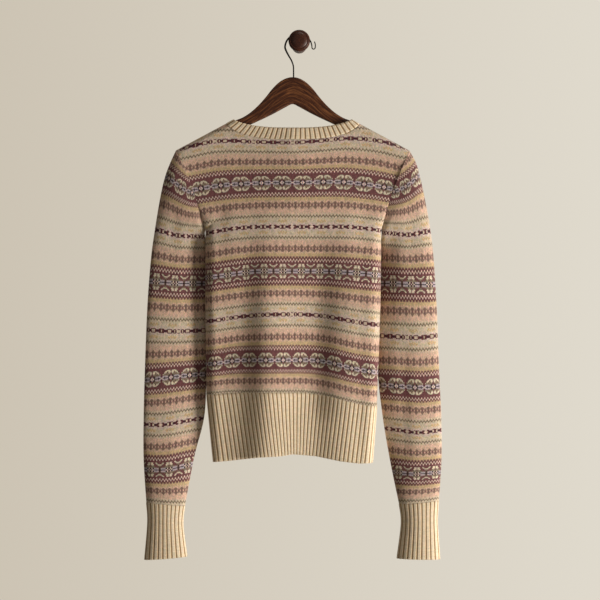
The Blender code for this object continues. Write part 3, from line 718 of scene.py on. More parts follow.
def hollow_depth(x, z):
    total = 0.0
    for hollow in SLEEVE_HOLLOWS:
        off = ((x - hollow.x) / hollow.half_width) ** 2 + ((z - hollow.z) / hollow.reach) ** 2
        total = total + hollow.deep * np.exp(-off)
    return total


def ring_points(ring, wall=0.0):
    """A ring's points from the inner edge by the wall's side to the outer edge, and back by the viewer's."""
    to_inner = (1.0 - np.cos(np.pi * np.arange(RING_COLUMNS + 1) / RING_COLUMNS)) / 2.0
    shares = np.concatenate([to_inner[::-1], to_inner[1:-1]])
    facing = np.concatenate([np.ones(RING_COLUMNS + 1), -np.ones(RING_COLUMNS - 1)])
    x, z = bowed((ring.outer_x, ring.outer_z), (ring.inner_x, ring.inner_z), ring.bow, shares, wall)
    height = (ring.outer_z + ring.inner_z) / 2
    hung = smooth((TUCK_TOP - height) / (TUCK_TOP - TUCK_FULL))
    hung *= 1.0 - TUCK_LOST * smooth((CUFF_ROUNDS[0] - height) / (CUFF_ROUNDS[0] - CUFF_ROUNDS[1]))
    depth = (ring.depth - wall - hollow_depth(x, z)) * oval(shares)
    sunk = LEFT_SUNK if ring.outer_x < 0 else RIGHT_SUNK
    depth *= np.where(facing < 0, 1.0 - sunk * hung, 1.0)
    tuck = SLEEVE_TUCK * hung * smooth((shares - TUCK_FROM) / (1.0 - TUCK_FROM))
    return np.stack([x, HANG_Y + tuck + facing * depth, z], -1)


def sleeve(sign, table):
    """Outer and inner grids of a sleeve, the armhole first, a seam's gap out from the body panels."""
    tip, low = (np.array(armhole_point(sign, share)[:2]) for share in (0.0, 1.0))
    down = unit(low - tip)
    apart = np.array([sign * abs(down[1]), -abs(down[0])]) * SEAM_GAP
    first = Ring(*(tip + apart), *(low + apart), ARMHOLE_DEPTH, ARMHOLE_BOW)
    stations = [first, *table]
    rings = [first]
    for i, (here, there) in enumerate(zip(stations, stations[1:])):
        gap = max(abs(here.outer_z - there.outer_z), abs(here.inner_z - there.inner_z))
        steps = max(1, round(gap / RING_SPACING))
        rings += [ease_between(stations, i, (k + 1) / steps) for k in range(steps)]
    return [np.array([ring_points(ring, wall) for ring in rings]) for wall in (0.0, WALL)]


def cuff(sleeve_table, table):
    """Plain grids of a cuff: the sleeve's last ring, a seam's gap on, then down to the free edge."""
    last = sleeve_table[-1]
    square = unit(np.array([last.inner_z - last.outer_z, last.outer_x - last.inner_x]))
    if square[1] > 0:
        square = -square
    gap = np.array([square[0], 0.0, square[1]]) * SEAM_GAP
    stations = [last, *table]
    steps = np.linspace(0.0, 1.0, CUFF_LINES // 2, endpoint=False)
    rings = [ease_between(stations, i, t) for i in (0, 1) for t in steps]
    rings.append(table[-1])
    count = CUFF.ribs * POINTS_PER_RIB
    grids = []
    for wall in (0.0, WALL):
        lines = [(ring_points(ring, wall), ring_points(ring)) for ring in rings]
        grid = np.array([resample(line, guide, count, True) for line, guide in lines])
        grid[0] += gap
        grids.append(grid)
    return grids


# ---------------------------------------------------------------- stitch maps


def course_at(lines, x, z):
    """The course at each point, from the lines that the courses follow. Below and above them it runs on."""
    grid_x = np.arange(-WIDEST, WIDEST + 1.0, COURSE_STEP)
    reach = int(COURSE_EASE / COURSE_STEP)
    kernel = np.ones(2 * reach + 1) / (2 * reach + 1)
    heights = []
    for line in lines:
        raw = np.interp(grid_x, [p[0] for p in line.points], [p[1] for p in line.points])
        raw = np.concatenate([np.full(reach, raw[0]), raw, np.full(reach, raw[-1])])
        heights.append(np.interp(x, grid_x, np.convolve(raw, kernel, mode="valid")))
    found = np.full_like(z, -np.inf)
    for above, below, top, bottom in zip(lines, lines[1:], heights, heights[1:]):
        share = (top - z) / (top - bottom)
        course = above.course + share * (below.course - above.course)
        found = np.where((share >= 0) | np.isinf(found), course, found)
    return found


def panel_map(outer, lines):
    """Stitches across, from the middle column, and courses down."""
    across = run_lengths(outer[..., :2], axis=1)
    across -= across[:, across.shape[1] // 2][:, None]
    stitch = np.interp(outer[..., 2], *np.array(BODY_GAUGE).T)
    return across / stitch, course_at(lines, outer[..., 0], outer[..., 2])


def sleeve_map(outer, lines):
    """Stitches from the outer edge both ways, so that the columns meet at the underarm, and courses down."""
    closed = np.concatenate([outer, outer[:, :1]], axis=1)
    across = run_lengths(closed, axis=1)
    across -= across[:, RING_COLUMNS][:, None]
    return across / SLEEVE_STITCH, course_at(lines, closed[..., 0], closed[..., 2])


def rib_map(outer, ribs, closed):
    """Ribs across and millimetres down."""
    grid = np.concatenate([outer, outer[:, :1]], axis=1) if closed else outer
    return np.broadcast_to(np.linspace(0.0, ribs, grid.shape[1]), grid.shape[:2]), run_lengths(grid)


# ---------------------------------------------------------------- meshes


def put(name, data):
    """Puts a mesh, a light or a camera into the scene."""
    made = bpy.data.objects.new(name, data)
    bpy.context.scene.collection.objects.link(made)
    return made


def set_map(mesh, name, places):
    """Gives a mesh a map, with a place for each corner of its faces."""
    layer = mesh.uv_layers.new(name=name)
    layer.uv.foreach_set("vector", places.astype(np.float32).ravel())


def quads(grid):
    """The corners of each cell of a grid of indices."""
    return np.stack([grid[:-1, :-1], grid[1:, :-1], grid[1:, 1:], grid[:-1, 1:]], -1).reshape(-1, 4)


def rims(grid, closed):
    """The rows and, where it is open, the columns that end a grid of indices, in the order round it."""
    ends = [grid[0], grid[-1, ::-1]]
    return ends if closed else [*ends, grid[::-1, 0], grid[:, -1]]


def wall_mesh(name, grids, maps, closed):
    """One closed shell from its outer and inner grids, with the stitch map on both sides."""
    outer, inner = grids
    points = np.vstack([outer.reshape(-1, 3), inner.reshape(-1, 3)])
    points[:, 0] += CENTRELINE_X
    to_inner = len(points) // 2
    spots = np.arange(to_inner).reshape(outer.shape[:2])
    if closed:
        spots = np.hstack([spots, spots[:, :1]])
    places = np.arange(spots.size).reshape(spots.shape)
    faces = [quads(spots), quads(spots)[:, ::-1] + to_inner]
    mapped = [quads(places), quads(places)[:, ::-1]]
    for rim, at in zip(rims(spots, closed), rims(places, closed)):
        faces.append(quads(np.stack([rim + to_inner, rim])))
        mapped.append(quads(np.stack([at, at])))
    start, below, _, beside = faces[0][len(faces[0]) // 2]
    normal = np.cross(points[below] - points[start], points[beside] - points[start])
    faces, mapped = np.vstack(faces), np.vstack(mapped)
    if normal @ (points[start] - points[start + to_inner]) < 0:
        faces, mapped = faces[:, ::-1], mapped[:, ::-1]
    mesh = bpy.data.meshes.new(name)
    mesh.from_pydata((points * MM).tolist(), [], faces.tolist())
    set_map(mesh, "knit", np.stack([values.ravel()[mapped] for values in maps], -1))
    mesh.shade_smooth()
    return put(name, mesh)


def mark_ribs(piece, outer, ribs, closed):
    """Stores each point's place among the ribs, and how much of the rib's height it has."""
    lines, many = outer.shape[:2]
    place = np.broadcast_to(np.linspace(0.0, ribs, many, endpoint=not closed), (lines, many))
    show = np.ones((lines, many))
    show[: len(RIB_FADE)] *= np.array(RIB_FADE)[:, None]
    if not closed:
        for edge in range(3):
            show[:, [edge, -1 - edge]] *= edge / 3.0
    both = np.concatenate([place.ravel(), place.ravel() + 0.5])
    shown = np.concatenate([show.ravel(), show.ravel() * RIBS_INSIDE])
    for name, values in (("rib_place", both), ("rib_show", shown)):
        layer = piece.data.attributes.new(name, "FLOAT", "POINT")
        layer.data.foreach_set("value", values.astype(np.float32))


def tube_mesh(name, rings):
    """A mesh round a run of rings of points, with a face at each end."""
    spots = np.arange(rings[..., 0].size).reshape(rings.shape[:2])
    faces = quads(np.hstack([spots, spots[:, :1]])).tolist()
    ends = [spots[0].tolist(), spots[-1].tolist()]
    mesh = bpy.data.meshes.new(name)
    mesh.from_pydata((rings.reshape(-1, 3) * MM).tolist(), [], faces + ends)
    return mesh


def finish_mesh(mesh, look, angle=50.0):
    """Faces turned outwards, round parts smooth and sharp past the angle, one material."""
    work = bmesh.new()
    work.from_mesh(mesh)
    bmesh.ops.recalc_face_normals(work, faces=work.faces)
    work.to_mesh(mesh)
    work.free()
    mesh.shade_smooth()
    mesh.set_sharp_from_angle(angle=math.radians(angle))
    mesh.materials.append(look)
    return put(mesh.name, mesh)


# ---------------------------------------------------------------- nodes

MATH = "ShaderNodeMath"
VECTOR_MATH = "ShaderNodeVectorMath"
MAP_RANGE = "ShaderNodeMapRange"
NOISE = "ShaderNodeTexNoise"
RAMP = "ShaderNodeValToRGB"


def linear(code):
    """An sRGB hex colour as linear red, green, blue and alpha."""
    channels = [int(code[i : i + 2], 16) / 255.0 for i in (0, 2, 4)]
    return (*[c / 12.92 if c <= 0.04045 else ((c + 0.055) / 1.055) ** 2.4 for c in channels], 1.0)


def feed(node, inputs):
    """Feeds a node's inputs, by name or in order, from values, sockets or other nodes' first outputs."""
    for key, value in inputs.items() if isinstance(inputs, dict) else enumerate(inputs):
        if isinstance(value, bpy.types.Node):
            value = next(socket for socket in value.outputs if socket.enabled)
        if isinstance(value, bpy.types.NodeSocket):
            node.id_data.links.new(value, node.inputs[key])
        else:
            node.inputs[key].default_value = value


def set_stops(ramp, stops, stepped):
    """Sets a ramp's places and colours, each a hex colour or four numbers to be kept as they are."""
    ramp.interpolation = "CONSTANT" if stepped else "LINEAR"
    ramp.elements.remove(ramp.elements[-1])
    for k, (position, colour) in enumerate(stops):
        element = ramp.elements.new(position) if k else ramp.elements[0]
        element.position = position
        element.color = linear(colour) if isinstance(colour, str) else colour


def add(tree, kind, inputs=(), operation=None, stops=(), stepped=False, **settings):
    """Adds a node with its settings, its ramp's stops and what feeds it."""
    node = tree.nodes.new(kind)
    for key, value in settings.items():
        setattr(node, key, value)
    if operation:
        node.operation = operation
    if stops:
        set_stops(node.color_ramp, stops, stepped)
    feed(node, inputs)
    return node


def start_material(name):
    made = bpy.data.materials.new(name)
    made.use_nodes = True
    return made, made.node_tree, made.node_tree.nodes["Principled BSDF"]


def rib_tree():
    """Geometry nodes that raise ribs on a plain band, from its rib_place and rib_show."""
    tree = bpy.data.node_groups.new("Raise ribs", "GeometryNodeTree")
    identifiers = {}
    given_kinds = {"Geometry": "Geometry", "Rise": "Float", "Fullness": "Float", "Cloth": "Material"}
    for name, kind in given_kinds.items():
        socket = tree.interface.new_socket(name, in_out="INPUT", socket_type=f"NodeSocket{kind}")
        identifiers[name] = socket.identifier
    tree.interface.new_socket("Geometry", in_out="OUTPUT", socket_type="NodeSocketGeometry")
    given = add(tree, "NodeGroupInput").outputs
    place = add(tree, "GeometryNodeInputNamedAttribute", ["rib_place"], data_type="FLOAT")
    show = add(tree, "GeometryNodeInputNamedAttribute", ["rib_show"], data_type="FLOAT")
    within = add(tree, MATH, [place], "FRACT")
    from_middle = add(tree, MATH, [within, 0.5], "SUBTRACT")
    distance = add(tree, MATH, [from_middle], "ABSOLUTE")
    doubled = add(tree, MATH, [distance, 2.0], "MULTIPLY")
    curve = add(tree, MATH, [doubled, given["Fullness"]], "POWER")
    height = add(tree, MATH, [1.0, curve], "SUBTRACT")
    shown = add(tree, MATH, [height, show], "MULTIPLY")
    raised = add(tree, MATH, [shown, given["Rise"]], "MULTIPLY")
    normal = add(tree, "GeometryNodeInputNormal")
    offset = add(tree, VECTOR_MATH, {0: normal, "Scale": raised}, "SCALE")
    moved = add(tree, "GeometryNodeSetPosition", {"Geometry": given["Geometry"], "Offset": offset})
    real = add(tree, "GeometryNodeRealizeInstances", [moved])
    dressed = add(tree, "GeometryNodeSetMaterial", {"Geometry": real, "Material": given["Cloth"]})
    add(tree, "NodeGroupOutput", [dressed])
    return tree, identifiers


def bake_modifier(piece, tree, values):
    """Runs a node tree on a piece and keeps the result as its plain mesh."""
    modifier = piece.modifiers.new("form", "NODES")
    modifier.node_group = tree
    for identifier, value in values.items():
        modifier[identifier] = value
    bpy.context.view_layer.update()
    depsgraph = bpy.context.evaluated_depsgraph_get()
    shown = piece.evaluated_get(depsgraph)
    mesh = bpy.data.meshes.new_from_object(shown, preserve_all_data_layers=True, depsgraph=depsgraph)
    piece.modifiers.remove(modifier)
    old = piece.data
    piece.data = mesh
    mesh.name = piece.name
    bpy.data.meshes.remove(old)


# ---------------------------------------------------------------- knit materials

# How much stitches differ in shade, how strong the streaks of combed fibres are, and the loops' height, in m
Finish = namedtuple("Finish", "mottle streak relief")
FAIR_ISLE_FINISH = Finish(0.16, 0.2, 0.0005)
RIB_FINISH = Finish(0.06, 0.06, 0.0004)


def chart_row(text):
    """Masks, yarn numbers and repeat of a course. A mirrored motif is written from its middle to its edge."""
    yarns = sorted(set(text), key=text.index)
    mirrored = len(text) > 1 and text not in UNMIRRORED
    repeat = 2 * (len(text) - 1) if mirrored else len(text)
    full = text if not mirrored or repeat > MASK_BITS else text + text[-2:0:-1]
    numbers = [yarns.index(letter) for letter in full]
    low, high = (sum((n >> bit & 1) << (MASK_BITS - 1 - k) for k, n in enumerate(numbers)) for bit in (0, 1))
    names = list(YARNS)
    packed = 0
    for k in range(YARNS_IN_ROW):
        packed = packed * YARN_SLOTS + names.index(yarns[min(k, len(yarns) - 1)])
    return low, high, packed, repeat


def chart_ramp(tree, at, rows_text, first):
    """A stepped ramp whose stops hold one course each: two masks, the yarns' numbers and the repeat."""
    stops = []
    for k, text in enumerate(rows_text):
        low, high, packed, repeat = chart_row(text)
        colour = (
            (low + 0.5) / 2**MASK_BITS,
            (high + 0.5) / 2**MASK_BITS,
            (packed + 0.5) / YARN_SLOTS**YARNS_IN_ROW,
            repeat / CHART_ROWS,
        )
        if not stops or stops[-1][1] != colour:
            stops.append(((first + k) / CHART_ROWS, colour))
    return add(tree, RAMP, [at], stops=stops, stepped=True).outputs


def chosen(tree, first, second, when):
    """The first chart's outputs, or the second's where when is 1: exactly, with nothing blended."""
    other = add(tree, MATH, [1.0, when], "SUBTRACT")
    kept = add(tree, VECTOR_MATH, [first[0], other], "MULTIPLY")
    colour = add(tree, VECTOR_MATH, [second[0], when, kept], "MULTIPLY_ADD")
    part = add(tree, MATH, [first[1], other], "MULTIPLY")
    repeat = add(tree, MATH, [second[1], when, part], "MULTIPLY_ADD")
    return colour, repeat


def stitch_places(tree, shift=0.0, courses=1.0):
    """The stitch and course at a point, and its place in the stitch, whose two legs make a V."""
    knit = add(tree, "ShaderNodeUVMap", uv_map="knit")
    parts = add(tree, "ShaderNodeSeparateXYZ", [knit]).outputs
    across = add(tree, MATH, [parts[0], shift], "ADD")
    down = add(tree, MATH, [parts[1], courses], "MULTIPLY")
    stitch = add(tree, MATH, [across], "ROUND")
    off = add(tree, MATH, [across, stitch], "SUBTRACT")
    leg = add(tree, MATH, [off], "ABSOLUTE")
    height = add(tree, MATH, [leg, LEG_RISE, down], "MULTIPLY_ADD")
    course = add(tree, MATH, [height], "ROUND")
    rise = add(tree, MATH, [height, course], "SUBTRACT")
    return stitch, course, leg, rise


def stitch_form(tree, leg, rise):
    """Height of the knitted loop, 0 to 1: each leg is a rounded strand."""
    side = add(tree, MATH, [leg, 0.25], "SUBTRACT")
    side_square = add(tree, MATH, [side, 2.0], "POWER")
    rise_square = add(tree, MATH, [rise, 2.0], "POWER")
    lower = add(tree, MATH, [side_square, -12.0, 1.0], "MULTIPLY_ADD")
    return add(tree, MATH, [rise_square, -1.6, lower], "MULTIPLY_ADD")


def charted_row(tree, course):
    """A course's numbers from the charts: bands and stripes take turns, with the same rows between them."""
    down = add(tree, MATH, [course, HALF_PERIOD], "PINGPONG")
    wide = add(tree, MATH, [course, 2 * HALF_PERIOD], "PINGPONG")
    is_diamond = add(tree, MATH, [wide, HALF_PERIOD + 0.5], "GREATER_THAN")
    turn = add(tree, MATH, [course, 4 * HALF_PERIOD], "FLOORED_MODULO")
    is_chain = add(tree, MATH, [turn, 2 * HALF_PERIOD], "GREATER_THAN")
    at = add(tree, MATH, [down, 1.0 / CHART_ROWS, 0.5 / CHART_ROWS], "MULTIPLY_ADD")
    flower, diamond = (chart_ramp(tree, at, band, 0) for band in (FLOWER_BAND, DIAMOND_BAND))
    bow, chain = (chart_ramp(tree, at, stripe, STRIPE_START) for stripe in (BOW_STRIPE, CHAIN_STRIPE))
    past_band = add(tree, MATH, [down, BETWEEN_START - 0.5], "GREATER_THAN")
    in_stripe = add(tree, MATH, [down, STRIPE_START - 0.5], "GREATER_THAN")
    row = chosen(tree, flower, diamond, is_diamond)
    row = chosen(tree, row, chart_ramp(tree, at, BETWEEN_BANDS, BETWEEN_START), past_band)
    return chosen(tree, row, chosen(tree, bow, chain, is_chain), in_stripe)


def charted_yarn(tree, row, stitch):
    """The yarn of a stitch, as a share of the slots: its bits in the masks say which of the row's yarns."""
    masks = add(tree, "ShaderNodeSeparateXYZ", [row[0]]).outputs
    repeat = add(tree, MATH, [row[1], CHART_ROWS], "MULTIPLY")
    repeat = add(tree, MATH, [repeat], "ROUND")
    half = add(tree, MATH, [repeat, 0.5], "MULTIPLY")
    turned = add(tree, MATH, [stitch, half], "PINGPONG")
    straight = add(tree, MATH, [stitch, repeat], "FLOORED_MODULO")
    is_long = add(tree, MATH, [repeat, MASK_BITS + 0.5], "GREATER_THAN")
    gap = add(tree, MATH, [turned, straight], "SUBTRACT")
    column = add(tree, MATH, [gap, is_long, straight], "MULTIPLY_ADD")
    column = add(tree, MATH, [column], "ROUND")
    shift = add(tree, MATH, [column, 1.0], "ADD")
    scale = add(tree, MATH, [2.0, shift], "POWER")
    bits = []
    for mask in masks[:2]:
        moved = add(tree, MATH, [mask, scale], "MULTIPLY")
        whole = add(tree, MATH, [moved], "FLOOR")
        bits.append(add(tree, MATH, [whole, 2.0], "FLOORED_MODULO"))
    number = add(tree, MATH, [bits[1], 2.0, bits[0]], "MULTIPLY_ADD")
    number = add(tree, MATH, [number], "ROUND")
    scale = add(tree, MATH, [YARN_SLOTS, number], "POWER")
    moved = add(tree, MATH, [masks[2], scale], "MULTIPLY")
    return add(tree, MATH, [moved], "FRACT")


def fair_isle():
    """Stranded stocking stitch in Shetland wool, steamed soft: matt, hairy, each stitch a shade apart."""
    made, tree, shader = start_material("Shetland wool, stranded stocking stitch")
    places = stitch_places(tree)
    stitch, course, _, _ = places
    yarn = charted_yarn(tree, charted_row(tree, course), stitch)
    stops = [(k / YARN_SLOTS, code) for k, code in enumerate(YARNS.values())]
    colour = add(tree, RAMP, [yarn], stops=stops, stepped=True)
    finish_wool(shader, colour, places, FAIR_ISLE_FINISH)
    return made


def rib_wool():
    """1 x 1 rib in undyed wool: pale rounded ribs, and painted shade, a deeper straw brown, down in the
    furrows.
    """
    made, tree, shader = start_material("Undyed wool, one by one rib")
    places = stitch_places(tree, -0.5, 1.0 / RIB_COURSE)
    # the stops darken from the ribs' middles out to the furrows: painted shade where the furrows fall into
    # shadow
    stops = [(0.0, "ebdbc2"), (0.26, "e1cfb2"), (0.38, "bd9f7b"), (0.5, "7d5f3e")]
    colour = add(tree, RAMP, [places[2]], stops=stops)
    finish_wool(shader, colour, places, RIB_FINISH)
    return made


def finish_wool(shader, colour, places, finish):
    """Tone that differs from stitch to stitch, painted shade in the hollows between the loops, the loops'
    relief and a soft sheen.
    """
    tree = shader.id_data
    stitch, course, leg, rise = places
    spot = add(tree, "ShaderNodeCombineXYZ", [stitch, course])
    each = add(tree, "ShaderNodeTexWhiteNoise", [spot], noise_dimensions="2D")
    mottle, streak = finish.mottle, finish.streak
    shade = add(tree, MAP_RANGE, {"Value": each, "To Min": 1.0 - mottle, "To Max": 1.0 + mottle})
    tints = [each.outputs["Color"], (mottle,) * 3, (1.0 - mottle / 2,) * 3]
    tint = add(tree, VECTOR_MATH, tints, "MULTIPLY_ADD")
    form = stitch_form(tree, leg, rise)
    # painted shade: each stitch's colour darkens to 0.72 of itself in the hollows between its loops
    painted_loop_shade = add(tree, MAP_RANGE, {"Value": form, "From Min": 0.1, "From Max": 0.9, "To Min": 0.72})
    # random tone from stitch to stitch, times the painted shade between the loops
    both = add(tree, MATH, [shade, painted_loop_shade], "MULTIPLY")
    tinted = add(tree, VECTOR_MATH, [colour, tint], "MULTIPLY")
    dyed = add(tree, VECTOR_MATH, [tinted, both], "MULTIPLY")
    place = add(tree, "ShaderNodeTexCoord").outputs["Object"]
    fibres = add(tree, NOISE, {"Vector": place, "Scale": 1400.0, "Detail": 3.0})
    combed = add(tree, "ShaderNodeMapping", {"Vector": place, "Scale": (330.0, 90.0, 120.0)})
    bloom = add(tree, NOISE, {"Vector": combed, "Scale": 1.0, "Detail": 3.0, "Roughness": 0.6})
    streaks = {"From Min": 0.25, "From Max": 0.75, "To Min": 1.0 - streak, "To Max": 1.0 + streak}
    soft = add(tree, MAP_RANGE, {"Value": bloom, **streaks})
    worn = add(tree, VECTOR_MATH, [dyed, soft], "MULTIPLY")
    relief = add(tree, MATH, [fibres, 0.35, form], "MULTIPLY_ADD")
    bump = add(tree, "ShaderNodeBump", {"Height": relief, "Strength": 0.5, "Distance": finish.relief})
    wool = {"Roughness": 0.95, "Specular IOR Level": 0.15, "Sheen Weight": 0.25, "Sheen Roughness": 0.55}
    feed(shader, {"Base Color": worn, "Normal": bump, "Sheen Tint": linear("f2e6d6"), **wool})


# ---------------------------------------------------------------- wood and wire


def stained_wood(name, dark, mid, light, grain_map, roughness):
    """Stained close-grained hardwood under satin lacquer: dark streaks along the grain."""
    made, tree, shader = start_material(name)
    if grain_map:
        place = add(tree, "ShaderNodeUVMap", uv_map=grain_map)
        stretch = (0.035, 0.55, 1.0)  # for a map in millimetres, with the grain along its first direction
    else:
        place = add(tree, "ShaderNodeTexCoord").outputs["Object"]
        stretch = (420.0, 60.0, 420.0)  # for metres, with the grain along Y
    mapped = add(tree, "ShaderNodeMapping", {"Vector": place, "Scale": stretch})
    warp = add(tree, NOISE, {"Vector": mapped, "Scale": 0.6, "Detail": 2.0})
    bent = add(tree, VECTOR_MATH, [warp.outputs["Color"], (1.2, 1.2, 1.2), mapped], "MULTIPLY_ADD")
    grain = add(tree, NOISE, {"Vector": bent, "Scale": 1.0, "Detail": 7.0, "Roughness": 0.62})
    colour = add(tree, RAMP, [grain], stops=[(0.3, dark), (0.5, mid), (0.68, light)])
    pores = add(tree, NOISE, {"Vector": mapped, "Scale": 6.0, "Detail": 4.0})
    open_pores = add(tree, MAP_RANGE, {"Value": pores, "From Min": 0.35, "From Max": 0.5, "To Min": 0.7})
    toned = add(tree, VECTOR_MATH, [colour, open_pores], "MULTIPLY")
    bump = add(tree, "ShaderNodeBump", {"Height": open_pores, "Strength": 0.25, "Distance": 0.0002})
    lacquer = {"Roughness": roughness, "Specular IOR Level": 0.35, "Coat Weight": 0.1, "Coat Roughness": 0.35}
    feed(shader, {"Base Color": toned, "Normal": bump, **lacquer})
    return made


def black_wire():
    """Blackened drawn steel: near black, a thin bright line where the light catches it."""
    made, tree, shader = start_material("Blackened steel wire")
    place = add(tree, "ShaderNodeTexCoord").outputs["Object"]
    noise = add(tree, NOISE, {"Vector": place, "Scale": 700.0, "Detail": 4.0})
    colour = add(tree, RAMP, [noise], stops=[(0.35, "151414"), (0.7, "2c2927")])
    rough = add(tree, MAP_RANGE, {"Value": noise, "To Min": 0.28, "To Max": 0.5})
    feed(shader, {"Base Color": colour, "Roughness": rough, "Metallic": 0.8})
    return made


def section_points(top, bottom, half):
    """Round the hanger's cross-section: flat faces with rounded edges, y out from the middle and z."""
    radius = min(HANGER_EDGE_ROUND, half * 0.95, (top - bottom) * 0.45)
    corners = ((1, top - radius), (-1, top - radius), (-1, bottom + radius), (1, bottom + radius))
    points = []
    for quarter, (side, z) in enumerate(corners):
        for k in range(7):
            turn = math.radians(90.0 * quarter + 15.0 * k)
            points.append((side * (half - radius) + radius * math.cos(turn), z + radius * math.sin(turn)))
    return points


def hanger_arms():
    arms = list(HANGER_MIDDLE)
    first, last = HANGER_ARM_X[0], HANGER_ARM_X[-1]
    under_cloth = (WALL + HANGER_CLEARANCE) / math.cos(SLOPE)
    for x, half in zip(HANGER_ARM_X, HANGER_ARM_HALF):
        height = np.interp(x, (first, last), HANGER_ARM_HEIGHT)
        top = shoulder_z(x) - under_cloth
        arms.append(Arm(x, top, top - height / math.cos(SLOPE), half))
    end = arms[-1]
    middle = (end.top + end.bottom) / 2 - (HANGER_END_X - end.x) * math.tan(SLOPE)
    reach = (end.top - end.bottom) / 2 * HANGER_END_SHARE
    arms.append(Arm(HANGER_END_X, middle + reach, middle - reach, end.half_thickness * HANGER_END_SHARE))
    return arms


def curve_through(places, values, at):
    """Catmull-Rom curve through the values at those places."""
    slopes = np.gradient(values, places)
    k = np.clip(np.searchsorted(places, at, side="right") - 1, 0, len(places) - 2)
    gap = places[k + 1] - places[k]
    t = (at - places[k]) / gap
    start, end = values[k], values[k + 1]
    return (
        (2 * t**3 - 3 * t**2 + 1) * start
        + (t**3 - 2 * t**2 + t) * gap * slopes[k]
        + (3 * t**2 - 2 * t**3) * end
        + (t**3 - t**2) * gap * slopes[k + 1]
    )


def build_hanger(look):
    arms = hanger_arms()
    both = [arm._replace(x=-arm.x) for arm in reversed(arms[1:])] + arms
    quarter = math.pi / 2 * HANGER_CROWDING
    at = HANGER_END_X * np.sin(np.linspace(-quarter, quarter, HANGER_STATIONS)) / math.sin(quarter)
    xs, *columns_of_arms = np.array(both).T
    sides = [curve_through(xs, values, at) for values in columns_of_arms]
    sizes = np.stack(sides, -1)
    rings = np.array([[(x, y, z) for y, z in section_points(*size)] for x, size in zip(at, sizes)])
    rings += (CENTRELINE_X, HANG_Y, 0.0)
    mesh = tube_mesh("hanger_wood", rings)
    middle = (sides[0] + sides[1]) / 2
    run = run_lengths(np.stack([at, middle], -1))
    run -= np.interp(0.0, at, run)
    points = rings.reshape(-1, 3)
    vertex = np.array([loop.vertex_index for loop in mesh.loops])
    ring = vertex // rings.shape[1]
    up = points[vertex, 2] - middle[ring] + 0.6 * (points[vertex, 1] - HANG_Y)
    set_map(mesh, "grain", np.stack([run[ring], up], -1))
    return finish_mesh(mesh, look)


def arc(x, z, radius, start, end, count):
    """Points round a circle from one angle to another, both in half turns."""
    angles = math.pi * np.linspace(start, end, count)
    return np.stack([x + radius * np.cos(angles), z + radius * np.sin(angles)], -1)


def hook_route():
    """The wire's path, from where it leaves the hanger, round the peg and into its end curl."""
    foot = (STEM_X, HANGER_MIDDLE[0].top - 1.0)
    bend = arc(HOOK_BEND_X, HOOK_BEND_Z, HOOK_BEND_RADIUS, 1.0, 0.0, BEND_POINTS)
    curl = arc(HOOK_BEND_X + HOOK_BEND_RADIUS + CURL_RADIUS, HOOK_BEND_Z, CURL_RADIUS, 1.0, 2.0, CURL_POINTS)
    return np.array([foot, *STEM_ROUTE, *bend, *curl[1:], *CURL_END])


def build_hook(look):
    route = hook_route()
    run = run_lengths(route)
    at = np.linspace(0.0, run[-1], HOOK_STATIONS)
    path = np.stack([curve_through(run, route[:, k], at) for k in (0, 1)], -1)
    ahead = unit(np.gradient(path, axis=0))
    bend_starts, bend_ends = run[len(STEM_ROUTE)], run[len(STEM_ROUTE) + BEND_POINTS]
    places = [0.0, bend_starts * 0.45, bend_starts, bend_ends * 0.8, bend_ends, run[-1]]
    radius = np.interp(at, places, [WIRE_STEM, WIRE_STEM, WIRE_BEND, WIRE_BEND, WIRE_TIP, WIRE_TIP])[:, None]
    turn = math.tau * np.arange(WIRE_SIDES) / WIRE_SIDES
    aside, out = radius * np.cos(turn), radius * np.sin(turn)
    x = path[:, :1] - ahead[:, 1:] * aside
    z = path[:, 1:] + ahead[:, :1] * aside
    rings = np.stack([x, HANG_Y + out, z], -1)
    return finish_mesh(tube_mesh("wire_hook", rings), look)


def build_peg(look):
    work = bmesh.new()
    line = [work.verts.new((row.radius * MM, -row.out * MM, 0.0)) for row in PEG_PROFILE]
    edges = [work.edges.new(pair) for pair in zip(line, line[1:])]
    round_y = {"cent": (0, 0, 0), "axis": (0, 1, 0), "angle": math.tau, "steps": PEG_STEPS}
    bmesh.ops.spin(work, geom=line + edges, use_duplicate=False, **round_y)
    bmesh.ops.remove_doubles(work, verts=work.verts, dist=1e-6)
    mesh = bpy.data.meshes.new("turned_peg")
    work.to_mesh(mesh)
    work.free()
    return finish_mesh(mesh, look, 35.0)


# ---------------------------------------------------------------- camera, light and floor

VIEW_MIDDLE = Vector((0.0013, -0.060, -0.427))
VIEW_DISTANCE = 3.0
VIEW_WIDTH = 0.990
SENSOR = 36.0
FLOOR_Z = -1.6
FLOOR_RADIUS = 1.5
AMBIENT = 0.2  # how bright the studio is all round, against the glow behind

Light = namedtuple("Light", "name place size power colour")
LIGHTS = (
    Light("key", (2.73, -1.06, -1.1), 1.0, 142.0, "fff9f0"),
    Light("fill", (-1.6, -3.0, 0.3), 2.0, 5.0, "f3ece4"),
    Light("top", (0.35, -0.4, 1.5), 1.0, 9.0, "fff4e6"),
)


def set_camera():
    camera = bpy.data.cameras.new("camera")
    camera.sensor_width = SENSOR
    camera.lens = SENSOR * VIEW_DISTANCE / VIEW_WIDTH
    made = put("camera", camera)
    made.location = VIEW_MIDDLE + Vector((0.0, -VIEW_DISTANCE, 0.0))
    made.rotation_euler = (math.radians(90.0), 0.0, 0.0)
    bpy.context.scene.camera = made


def set_lights():
    for row in LIGHTS:
        light = bpy.data.lights.new(row.name, "AREA")
        light.shape = "DISK"
        light.size = row.size
        light.energy = row.power
        light.color = linear(row.colour)[:3]
        made = put(row.name, light)
        made.location = row.place
        made.rotation_euler = (VIEW_MIDDLE - Vector(row.place)).to_track_quat("-Z", "Y").to_euler()


